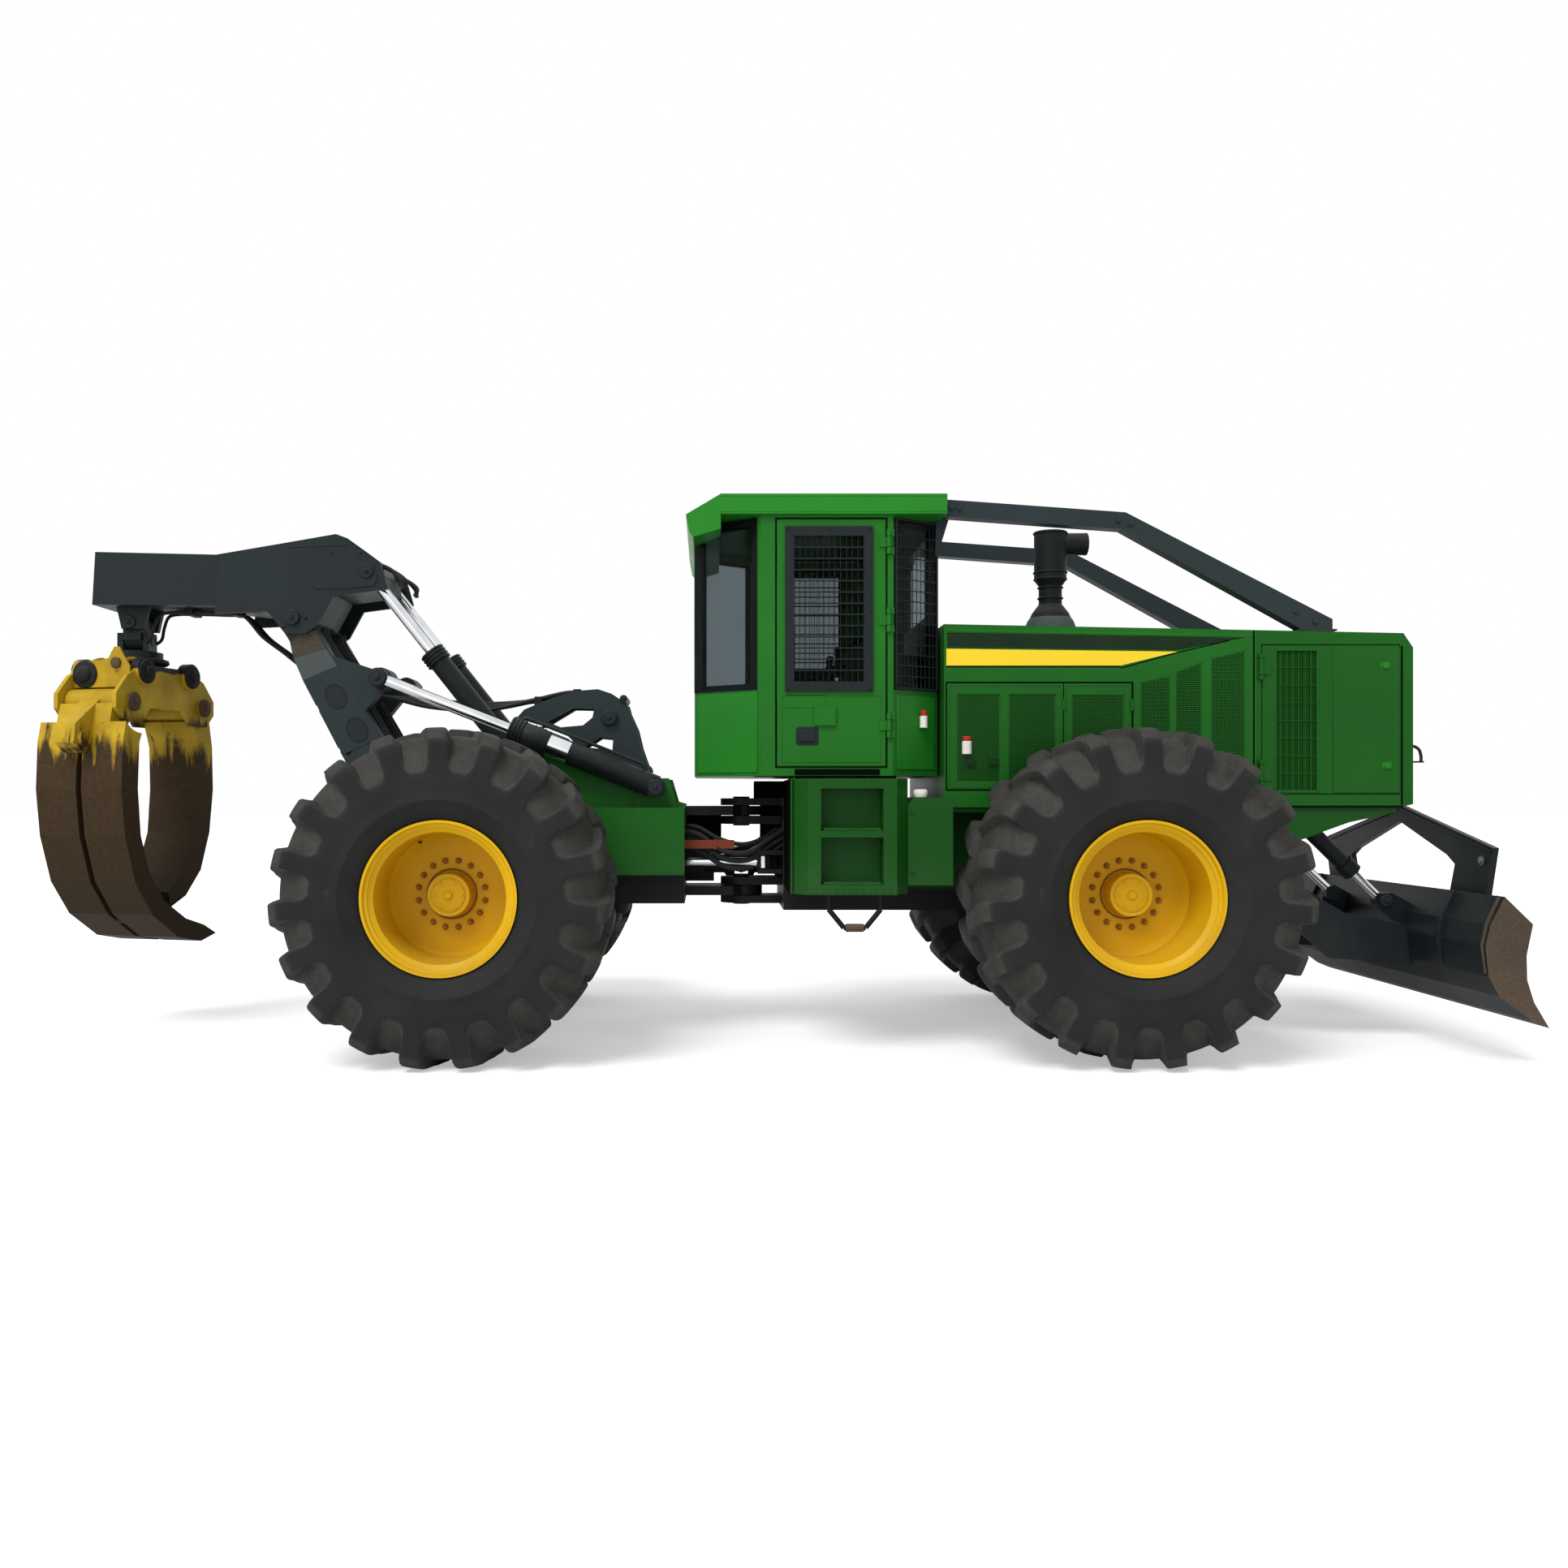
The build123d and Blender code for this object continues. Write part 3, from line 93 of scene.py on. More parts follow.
class SkidderColours(bpy.types.PropertyGroup):
    """Colours that a user may change."""

    green: bpy.props.FloatVectorProperty(
        name="Body green", description="Paint of the cab, hood and frames", subtype="COLOR",
        default=(0.010, 0.125, 0.010), min=0.0, max=1.0)
    charcoal: bpy.props.FloatVectorProperty(
        name="Charcoal", description="Paint of the boom, arch, bars and blade", subtype="COLOR",
        default=(0.015, 0.022, 0.024), min=0.0, max=1.0)
    rim_yellow: bpy.props.FloatVectorProperty(
        name="Rim yellow", description="Paint of the rims", subtype="COLOR",
        default=(0.74, 0.43, 0.004), min=0.0, max=1.0)
    stripe_yellow: bpy.props.FloatVectorProperty(
        name="Stripe yellow", description="Colour of the stripe along the hood", subtype="COLOR",
        default=(0.93, 0.66, 0.03), min=0.0, max=1.0)
    rust: bpy.props.FloatVectorProperty(
        name="Rust", description="Bare rusty steel of the tongs and the blade's ends", subtype="COLOR",
        default=(0.042, 0.024, 0.009), min=0.0, max=1.0)
    dust: bpy.props.FloatVectorProperty(
        name="Dust", description="Dry dust on upward faces", subtype="COLOR",
        default=(0.16, 0.15, 0.13), min=0.0, max=1.0)


def at(x, y, z):
    """A place in the machine's frame, with x in metres from the rear axle."""
    return Vector((AXLE_X + x, y, z))


# Shader groups and materials

SPECULAR = 0.15


def add(tree, kind, sockets=None, **settings):
    """One shader node; each socket takes a value or another node's output."""
    made = tree.nodes.new(kind)
    for key, value in settings.items():
        setattr(made, key, value)
    for key, value in (sockets or {}).items():
        if isinstance(value, bpy.types.NodeSocket):
            tree.links.new(value, made.inputs[key])
        else:
            made.inputs[key].default_value = value
    return made


def mix_colour(tree, factor, first, second):
    """The second colour over the first by a factor."""
    sockets = {0: factor}
    for index, value in ((6, first), (7, second)):
        sockets[index] = value if isinstance(value, bpy.types.NodeSocket) else (*value[:3], 1)
    return add(tree, "ShaderNodeMix", sockets, data_type="RGBA").outputs[2]


def spread(tree, value, low, high, to_low=0.0, to_high=1.0):
    """A value moved from one range to another and kept inside it."""
    sockets = {"Value": value, "From Min": low, "From Max": high, "To Min": to_low, "To Max": to_high}
    return add(tree, "ShaderNodeMapRange", sockets, clamp=True).outputs[0]


def maths(tree, operation, first, second=0.0):
    """One sum of two values."""
    return add(tree, "ShaderNodeMath", {0: first, 1: second}, operation=operation).outputs[0]


def times(tree, first, second):
    """The product of two values."""
    return maths(tree, "MULTIPLY", first, second)


def place_on(tree):
    """The place on a piece, measured from its own origin."""
    return add(tree, "ShaderNodeTexCoord").outputs["Object"]


def share_of(tree, vector, index):
    """One of a vector's three parts."""
    return add(tree, "ShaderNodeSeparateXYZ", {0: vector}).outputs[index]


def stretched(tree, place, by):
    """A place with each of its parts multiplied."""
    return add(tree, "ShaderNodeVectorMath", {0: place, 1: by}, operation="MULTIPLY").outputs[0]


def noise(tree, place, scale, detail, roughness=0.5):
    """Fractal noise."""
    sockets = {"Vector": place, "Scale": scale, "Detail": detail, "Roughness": roughness}
    return add(tree, "ShaderNodeTexNoise", sockets).outputs[0]


def new_group(name, inputs, outputs):
    """An empty shader group with its named sockets and its two end nodes."""
    group = bpy.data.node_groups.new(name, "ShaderNodeTree")
    for socket_name, value in inputs:
        socket = group.interface.new_socket(socket_name, in_out="INPUT", socket_type="NodeSocketFloat")
        socket.default_value = value
    for socket_name in outputs:
        group.interface.new_socket(socket_name, in_out="OUTPUT", socket_type="NodeSocketFloat")
    return group, group.nodes.new("NodeGroupInput"), group.nodes.new("NodeGroupOutput")


def paint_grain_group():
    """Slow mottling, fine grain and a height for orange peel."""
    group, given, out = new_group(
        "Paint Grain", [("Patch Scale", 1.6), ("Grain Scale", 90.0)], ["Patches", "Grain", "Height"])
    place = place_on(group)
    patches = noise(group, place, given.outputs[0], 5.0)
    grain = noise(group, place, given.outputs[1], 3.0)
    for index, value in enumerate((spread(group, patches, 0.3, 0.7), spread(group, grain, 0.3, 0.7), grain)):
        group.links.new(value, out.inputs[index])
    return group


def dust_group():
    """Dust that settles on upward faces and splashes up from the ground."""
    group, given, out = new_group(
        "Settled Dust", [("On Top", 0.5), ("Low Down", 0.4), ("Patch Scale", 2.5)], ["Mask"])
    place = place_on(group)
    up = share_of(group, add(group, "ShaderNodeNewGeometry").outputs["Normal"], 2)
    patches = spread(group, noise(group, place, given.outputs[2], 8.0, 0.65), 0.38, 0.66)
    top = times(group, spread(group, up, 0.25, 0.95), given.outputs[0])
    low = times(group, spread(group, share_of(group, place, 2), 1.3, 0.1), given.outputs[1])
    mask = times(group, maths(group, "ADD", top, low), maths(group, "ADD", patches, 0.25))
    group.links.new(mask, out.inputs[0])
    return group


def scuff_group():
    """Scratches drawn out along the machine."""
    group, given, out = new_group("Scuffs", [("Amount", 0.3), ("Scale", 9.0), ("Stretch", 0.25)], ["Mask"])
    stretch = add(group, "ShaderNodeCombineXYZ", {0: given.outputs[2], 1: 1.0, 2: 1.0}).outputs[0]
    streaks = noise(group, stretched(group, place_on(group), stretch), given.outputs[1], 12.0, 0.7)
    limit = maths(group, "SUBTRACT", 0.78, times(group, given.outputs[0], 0.4))
    group.links.new(spread(group, streaks, limit, maths(group, "ADD", limit, 0.05)), out.inputs[0])
    return group


GROUPS = {}


def placed(tree, name, values):
    """One shader group placed in a material with its own values."""
    if name not in GROUPS:
        GROUPS[name] = {"grain": paint_grain_group, "dust": dust_group, "scuffs": scuff_group}[name]()
    made = tree.nodes.new("ShaderNodeGroup")
    made.node_tree = GROUPS[name]
    for key, value in values.items():
        made.inputs[key].default_value = value
    return made


def new_material(name):
    """A material with its Principled shader."""
    material = bpy.data.materials.new(name)
    material.use_nodes = True
    return material, material.node_tree, material.node_tree.nodes["Principled BSDF"]


def surface(tree, shader, base, roughness, specular=SPECULAR):
    """The colour, roughness and reflection of a shader."""
    tree.links.new(base, shader.inputs["Base Color"])
    tree.links.new(roughness, shader.inputs["Roughness"])
    shader.inputs["Specular IOR Level"].default_value = specular


def bumped(tree, shader, height, strength, distance=0.002):
    """A bump on the shader's normal."""
    bump = add(tree, "ShaderNodeBump", {"Height": height, "Strength": strength, "Distance": distance})
    tree.links.new(bump.outputs[0], shader.inputs["Normal"])


# Where painted shade turns the frames' paint black at the hinge, and where the blade's bare ends start
HINGE_SHADE = (1.372, 2.012)
BLADE_END = 1.39


def paint(name, colour, roughness, dust=(0.35, 0.3), scuffs=0.08, dark=0.78, bare=(0.06, 0.05, 0.04),
          belly=None, worn_ends=False):
    """Sprayed paint with mottling, dust and scuffs, painted shade in black below the belly and at the hinge,
    and bare at the blade's ends.
    """
    material, tree, shader = new_material(name)
    grain = placed(tree, "grain", {"Patch Scale": 1.3, "Grain Scale": 160.0})
    worn = placed(tree, "scuffs", {"Amount": scuffs, "Scale": 7.0})
    dusty = placed(tree, "dust", {"On Top": dust[0], "Low Down": dust[1], "Patch Scale": 3.0})
    base = mix_colour(tree, grain.outputs["Patches"], [c * dark for c in colour], colour)
    base = mix_colour(tree, times(tree, worn.outputs["Mask"], 0.6), base, bare)
    base = mix_colour(tree, dusty.outputs[0], base, bpy.context.scene.skidder_colours.dust)
    # Painted shade: the paint turns black below the belly and between the frames at the hinge.
    if belly:
        place = place_on(tree)
        along, height = share_of(tree, place, 0), share_of(tree, place, 2)
        behind, ahead = AXLE_X + HINGE_SHADE[0], AXLE_X + HINGE_SHADE[1]
        hinge = times(tree, spread(tree, along, behind, behind + 0.006),
                      spread(tree, along, ahead, ahead - 0.006))
        black = maths(tree, "MAXIMUM", hinge, spread(tree, height, belly, belly - 0.03))
        base = mix_colour(tree, black, base, (0.007, 0.008, 0.008))
    if worn_ends:
        normal = add(tree, "ShaderNodeNewGeometry").outputs["Normal"]
        sideways = maths(tree, "ABSOLUTE", share_of(tree, normal, 1))
        rusty = mix_colour(tree, grain.outputs["Grain"], (0.055, 0.034, 0.020), (0.13, 0.095, 0.062))
        across = maths(tree, "ABSOLUTE", share_of(tree, place_on(tree), 1))
        sideways = times(tree, sideways, spread(tree, across, BLADE_END, BLADE_END + 0.01))
        patchy = maths(tree, "ADD", 0.55, times(tree, grain.outputs["Patches"], 0.6))
        share = times(tree, spread(tree, sideways, 0.8, 0.95), patchy)
        base = mix_colour(tree, spread(tree, share, 0.0, 1.0), base, rusty)
    rough = spread(tree, grain.outputs["Patches"], 0, 1, roughness, roughness + 0.12)
    surface(tree, shader, base, maths(tree, "ADD", rough, times(tree, dusty.outputs[0], 0.3)))
    bumped(tree, shader, grain.outputs["Height"], 0.06)
    return material


def tyre_rubber():
    """Dull black rubber on sidewalls and lug ends, with dry earth in the pockets and on the tread."""
    material, tree, shader = new_material("tyre_rubber")
    grain = placed(tree, "grain", {"Patch Scale": 3.2, "Grain Scale": 90.0})
    place = place_on(tree)
    flat = stretched(tree, place, (1.0, 0.0, 1.0))
    radius = add(tree, "ShaderNodeVectorMath", {0: flat}, operation="LENGTH").outputs["Value"]
    across = maths(tree, "ABSOLUTE", share_of(tree, place, 1))
    cloud = noise(tree, place, 14.0, 9.0, 0.7)
    sunk = times(tree, spread(tree, across, 0.4195, 0.412), spread(tree, radius, 0.69, 0.73))
    earth = times(tree, sunk, spread(tree, cloud, 0.28, 0.62, 0.35, 0.85))
    base = mix_colour(tree, grain.outputs["Patches"], (0.009, 0.010, 0.010), (0.017, 0.018, 0.018))
    base = mix_colour(tree, times(tree, grain.outputs["Grain"], 0.30), base, (0.032, 0.032, 0.030))
    base = mix_colour(tree, earth, base, (0.054, 0.052, 0.047))
    streaks = spread(tree, cloud, 0.60, 0.72, 0.0, 0.35)
    stained = times(tree, streaks, spread(tree, radius, 0.45, 0.60))
    base = mix_colour(tree, stained, base, (0.050, 0.046, 0.038))
    surface(tree, shader, base, spread(tree, grain.outputs["Grain"], 0, 1, 0.55, 0.8))
    bumped(tree, shader, noise(tree, place, 200.0, 4.0), 0.25, 0.001)
    return material


def worn_yellow(name, rust_from, rust_to, black_from=9.0):
    """Yellow paint scraped and stained down to brown rust below a height, and black above another."""
    material, tree, shader = new_material(name)
    rust = bpy.context.scene.skidder_colours.rust
    grain = placed(tree, "grain", {"Patch Scale": 4.0, "Grain Scale": 70.0})
    place = place_on(tree)
    height = share_of(tree, place, 2)
    streaks = noise(tree, stretched(tree, place, (9.0, 9.0, 1.4)), 1.0, 12.0, 0.72)
    drop = spread(tree, height, rust_from, rust_to, -0.12, 0.40)
    rust_mask = spread(tree, maths(tree, "ADD", streaks, drop), 0.56, 0.68)
    fine = noise(tree, place, 26.0, 10.0, 0.75)
    specks = spread(tree, fine, 0.62, 0.66)
    yellow = mix_colour(tree, grain.outputs["Patches"], (0.36, 0.22, 0.012), (0.58, 0.39, 0.022))
    steel = mix_colour(tree, grain.outputs["Grain"], rust, (0.062, 0.037, 0.015))
    steel = mix_colour(tree, spread(tree, fine, 0.30, 0.6, 0.35, 1.0), (0.022, 0.013, 0.006), steel)
    steel = mix_colour(tree, spread(tree, height, 1.75, 0.75, 0.0, 0.7), steel, (0.026, 0.017, 0.009))
    base = mix_colour(tree, maths(tree, "MAXIMUM", rust_mask, times(tree, specks, 0.7)), yellow, steel)
    edge = maths(tree, "ADD", height, times(tree, streaks, 0.05))
    base = mix_colour(tree, spread(tree, edge, black_from, black_from + 0.01), base, (0.010, 0.013, 0.016))
    surface(tree, shader, base, spread(tree, rust_mask, 0, 1, 0.42, 0.62), 0.12)
    bumped(tree, shader, maths(tree, "ADD", fine, times(tree, rust_mask, -0.4)), 0.22, 0.003)
    return material


def chrome_rod():
    """Ground and plated steel with a film of oil."""
    material, tree, shader = new_material("chrome_rod")
    grain = placed(tree, "grain", {"Patch Scale": 6.0, "Grain Scale": 200.0})
    base = mix_colour(tree, grain.outputs["Patches"], (0.62, 0.64, 0.66), (0.80, 0.81, 0.83))
    surface(tree, shader, base, spread(tree, grain.outputs["Grain"], 0, 1, 0.10, 0.22), 0.5)
    shader.inputs["Metallic"].default_value = 1.0
    return material


def window_glass(name, colour):
    """Tinted glass that lets the cab's inside show."""
    material, _, shader = new_material(name)
    shader.inputs["Base Color"].default_value = (*colour, 1)
    shader.inputs["Roughness"].default_value = 0.03
    shader.inputs["Transmission Weight"].default_value = 1.0
    shader.inputs["IOR"].default_value = 1.12
    return material


def plain_finish(name, colour, roughness, metal, grain_scale, bump, specular=SPECULAR):
    """A finish with fine grain: castings, rubber hose, plastic and seals."""
    material, tree, shader = new_material(name)
    grain = placed(tree, "grain", {"Patch Scale": 3.0, "Grain Scale": grain_scale})
    dusty = placed(tree, "dust", {"On Top": 0.25, "Low Down": 0.15, "Patch Scale": 3.0})
    base = mix_colour(tree, grain.outputs["Grain"], colour, [min(1.0, c * 1.5) for c in colour])
    base = mix_colour(tree, dusty.outputs[0], base, bpy.context.scene.skidder_colours.dust)
    rough = spread(tree, grain.outputs["Patches"], 0, 1, roughness, min(1, roughness + 0.15))
    surface(tree, shader, base, rough, specular)
    shader.inputs["Metallic"].default_value = metal
    bumped(tree, shader, grain.outputs["Height"], bump, 0.001)
    return material


PLAIN_FINISHES = (
    # key, name, colour, roughness, metal, grain scale, bump, and for some how much it reflects
    ("hub_line", "hub_line", (0.19, 0.095, 0.014), 0.5, 0.0, 60.0, 0.1),
    ("iron", "dark_casting", (0.012, 0.012, 0.012), 0.6, 0.0, 45.0, 0.3),
    # The black gap is also painted shade on the sheet behind the nose grille and on the plates in the hinge
    # zone.
    ("gap", "black_gap_and_shade", (0.003, 0.004, 0.003), 0.9, 0.0, 45.0, 0.1, 0.0),
    ("stack", "exhaust_black", (0.007, 0.009, 0.010), 0.5, 0.0, 60.0, 0.15),
    ("dome", "exhaust_dome", (0.055, 0.072, 0.076), 0.6, 0.0, 60.0, 0.15),
    ("seal", "rubber_seal", (0.010, 0.012, 0.012), 0.55, 0.0, 90.0, 0.1),
    # Painted shade: the louvre slats are a dark copy of the hood green.
    ("louvre", "shaded_louvre_slats", (0.010, 0.030, 0.012), 0.5, 0.0, 90.0, 0.1),
    ("hose", "hose_rubber", (0.014, 0.015, 0.016), 0.5, 0.0, 240.0, 0.1),
    ("screen", "black_screen", (0.009, 0.013, 0.014), 0.45, 0.0, 120.0, 0.1),
    ("zinc", "zinc_fastener", (0.13, 0.135, 0.14), 0.45, 0.3, 90.0, 0.1),
    ("fabric", "seat_fabric", (0.045, 0.050, 0.058), 0.85, 0.0, 320.0, 0.4),
    ("trim", "cab_trim", (0.022, 0.023, 0.026), 0.6, 0.0, 150.0, 0.2),
    ("nut", "rusty_nut", (0.26, 0.115, 0.010), 0.6, 0.0, 60.0, 0.3),
    ("brown", "worn_brown_steel", (0.075, 0.046, 0.026), 0.6, 0.1, 50.0, 0.35),
    ("worn_band", "worn_band", (0.047, 0.038, 0.027), 0.6, 0.0, 50.0, 0.2),
    ("pale", "pale_plastic", (0.62, 0.60, 0.55), 0.4, 0.0, 90.0, 0.05),
    ("cap_red", "red_plastic", (0.35, 0.02, 0.015), 0.4, 0.0, 90.0, 0.05),
)
MATERIALS = {}


def make_materials():
    """Every finish of the machine, by name."""
    colours = bpy.context.scene.skidder_colours

    def green(share):
        return [c * share for c in colours.green]

    MATERIALS.update({
        "green": paint("green_paint", green(1.0), 0.32, (0.25, 0.2)),
        # Painted light: the cab, panel and roof greens are lighter copies of the body green.
        "cab": paint("cab_lit_green_paint", green(1.3), 0.31, (0.2, 0.1)),
        "panel": paint("panel_lit_green_paint", green(1.6), 0.31, (0.2, 0.1)),
        # Painted shade: the cooler, frame and rear frame greens are darker copies of the body green.
        "cooler": paint("cooler_shaded_green_paint", green(0.82), 0.34, (0.2, 0.1)),
        "roof": paint("roof_lit_green_paint", green(1.9), 0.30, (0.2, 0.0)),
        "frame_green": paint("frame_shaded_green_paint", green(0.62), 0.42, (0.35, 0.25), 0.16, belly=0.98),
        "rear_shaded_green": paint("rear_shaded_green_paint", green(0.85), 0.42, (0.35, 0.25), 0.16, belly=1.065),
        # Painted shade: a dark copy of the body green for the sheets behind the screens and the nose grille's
        # wires; the hood locks take it too.
        "dark_green": paint("dark_green_and_shade_paint", (0.006, 0.034, 0.006), 0.5, (0.05, 0.05), 0.0),
        "charcoal": paint("charcoal_paint", tuple(colours.charcoal), 0.40, (0.25, 0.2), 0.15),
        "bar": paint("bar_paint", [c * 1.5 for c in colours.charcoal], 0.40, (0.25, 0.2), 0.15),
        "barrel": paint("barrel_paint", (0.008, 0.012, 0.013), 0.36, (0.2, 0.1), 0.1),
        "bundle": paint("worn_grey_paint", (0.075, 0.090, 0.088), 0.5, (0.2, 0.1), 0.35),
        "blade": paint("blade_paint", (0.010, 0.015, 0.018), 0.38, (0.15, 0.1), 0.2, worn_ends=True),
        "rim": paint("rim_paint", tuple(colours.rim_yellow), 0.36, (0.1, 0.1), 0.06, bare=(0.30, 0.12, 0.02)),
        "stripe": paint("stripe_film", tuple(colours.stripe_yellow), 0.42, (0.0, 0.0), 0.0, 0.95),
        "red": paint("red_paint", (0.24, 0.045, 0.02), 0.5, (0.2, 0.2), 0.25),
        "worn": worn_yellow("worn_yellow", 2.16, 1.60),
        "head": worn_yellow("head_yellow", 2.20, 1.90, 2.40),
        "strap": worn_yellow("strap_yellow", 2.20, 1.90),
        "rubber": tyre_rubber(),
        "chrome": chrome_rod(),
        "glass": window_glass("window_glass", (0.30, 0.33, 0.345)),
        "quarter_glass": window_glass("quarter_glass", (0.56, 0.60, 0.61)),
    })
    for key, *values in PLAIN_FINISHES:
        MATERIALS[key] = plain_finish(*values)


# Mesh helpers

SIDES = (("left", 1), ("right", -1))
ENDS = (("front", WHEELBASE), ("rear", 0.0))
BEVEL_FROM = math.radians(40)
CREASE_FROM = math.radians(35)


def give(mesh_object, material, bevel=None):
    """A material and a fine bevel on a piece or a carried-over solid."""
    mesh_object.data.materials.clear()
    mesh_object.data.materials.append(MATERIALS[material])
    width = bpy.context.scene.skidder_sizes.edge_round if bevel is None else bevel
    if width > 0:
        rounding = mesh_object.modifiers.new("edges", "BEVEL")
        rounding.width = width
        rounding.segments = 2
        rounding.limit_method = "ANGLE"
        rounding.angle_limit = BEVEL_FROM
        rounding.use_clamp_overlap = True


def piece(name, bm, material, body, bevel=0.0, slot=None):
    """A new piece from a mesh in work, with its material, riding on a body."""
    mesh = bpy.data.meshes.new(name)
    bmesh.ops.recalc_face_normals(bm, faces=bm.faces)
    bm.to_mesh(mesh)
    bm.free()
    made = bpy.data.objects.new(name, mesh)
    bpy.context.scene.collection.objects.link(made)
    mesh.shade_smooth()
    mesh.set_sharp_from_angle(angle=CREASE_FROM)
    give(made, material, bevel)
    if body:
        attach(made, body)
    return made


def pieces(body, *rows):
    """New pieces on one body, each row a name, a mesh, a material, a bevel and for some a slot, which is not
    used.
    """
    for name, bm, material, bevel, *slot in rows:
        piece(name, bm, material, body, bevel, *slot)


def meshes(count):
    """As many empty meshes in work."""
    return [bmesh.new() for _ in range(count)]


def joined(bm, rings, closed=False):
    """Faces from ring to ring, with both ends unless the rings close on themselves."""
    for a, b in zip(rings, rings[1:] + rings[:1] if closed else rings[1:]):
        for k in range(len(a)):
            j = (k + 1) % len(a)
            bm.faces.new((a[k], a[j], b[j], b[k]))
    if not closed:
        bm.faces.new(list(reversed(rings[0])))
        bm.faces.new(rings[-1])


def lofted(bm, first, second):
    """A closed body between two outlines of as many points."""
    joined(bm, [[bm.verts.new(p) for p in outline] for outline in (first, second)])


def prism(bm, points, axis, low, high):
    """An outline in the two other axes, drawn out along one axis."""
    ends = []
    for c in (low, high):
        ends.append([{"x": (c, a, b), "y": (a, c, b), "z": (a, b, c)}[axis] for a, b in points])
    lofted(bm, *ends)


def slab(bm, x, y, z):
    """A flat-sided bar between two values along each axis, x measured from the rear axle."""
    x0, x1 = AXLE_X + min(x), AXLE_X + max(x)
    prism(bm, [(x0, min(y)), (x1, min(y)), (x1, max(y)), (x0, max(y))], "z", min(z), max(z))


def side_outline(bm, points, y_low, y_high):
    """A plate seen from the side, its outline as x from the rear axle and z."""
    prism(bm, [(AXLE_X + x, z) for x, z in points], "y", y_low, y_high)


def rectangle(x_low, x_high, z_low, z_high):
    """A closed line round a rectangle of x and z."""
    return [(x_low, z_low), (x_high, z_low), (x_high, z_high), (x_low, z_high), (x_low, z_low)]


def circle(count, radius, first=0.0):
    """Points round a circle as pairs; first is where they start, as a share of one step."""
    angles = [2 * math.pi * (index + first) / count for index in range(count)]
    return [(radius * math.cos(angle), radius * math.sin(angle)) for angle in angles]


def turned(bm, start, end, profile, segments=24, hollow=False):
    """A body of revolution from start towards end; profile holds (share of the length, radius) pairs."""
    start, end = Vector(start), Vector(end)
    line = end - start
    turn = line.to_track_quat("Z", "Y").to_matrix()
    rings = []
    for share, radius in profile:
        centre = start + line * share
        rings.append([bm.verts.new(centre + turn @ Vector((a, b, 0))) for a, b in circle(segments, radius)])
    joined(bm, rings, hollow)


def bolt_head(bm, place, axis, radius, height):
    """A hexagon head with a washer, its top chamfered."""
    place, axis = Vector(place), Vector(axis).normalized()
    washer_top = place + axis * height * 0.25
    turned(bm, place, washer_top, [(0, radius * 1.5), (1, radius * 1.5)], 18)
    turned(bm, washer_top, place + axis * height, [(0, radius), (0.8, radius), (1, radius * 0.82)], 6)


def smooth_path(points, steps=8):
    """Points along a Catmull-Rom line through the given ones."""
    points = [Vector(p) for p in points]
    ends = [points[0] * 2 - points[1]] + points + [points[-1] * 2 - points[-2]]
    line = []
    for i in range(1, len(ends) - 2):
        a, b, c, d = ends[i - 1:i + 3]
        for step in range(steps):
            t = step / steps
            line.append(0.5 * ((2 * b) + (c - a) * t + (2 * a - 5 * b + 4 * c - d) * t * t
                               + (3 * b - a - 3 * c + d) * t ** 3))
    return line + [points[-1]]


def tube(bm, points, radius, sides=10, closed=False):
    """A round tube that follows points, its ends closed."""
    points = [Vector(p) for p in points]
    rings = []
    up = Vector((0, 0, 1))
    for i, place in enumerate(points):
        before = points[i - 1] if i or closed else points[0]
        after = points[(i + 1) % len(points)] if i < len(points) - 1 or closed else points[-1]
        along = (after - before).normalized()
        if abs(along.dot(up)) > 0.98:
            up = Vector((1, 0, 0))
        side = along.cross(up).normalized()
        up = side.cross(along).normalized()
        rings.append([bm.verts.new(place + side * a + up * b) for a, b in circle(sides, radius)])
    joined(bm, rings, closed)


# Operators

SUNS = (
    # name, strength, its turn and the width of its disc in degrees
    ("key", 1.9, (38, 0, -32), 28),
    ("front", 0.55, (74, 0, -34), 60),
)
CAMERA_PLACE = (1.524, -9.43, 1.56)
CAMERA_LENS = 32.05
CAMERA_SHIFT = (0.0481, 0.0072)


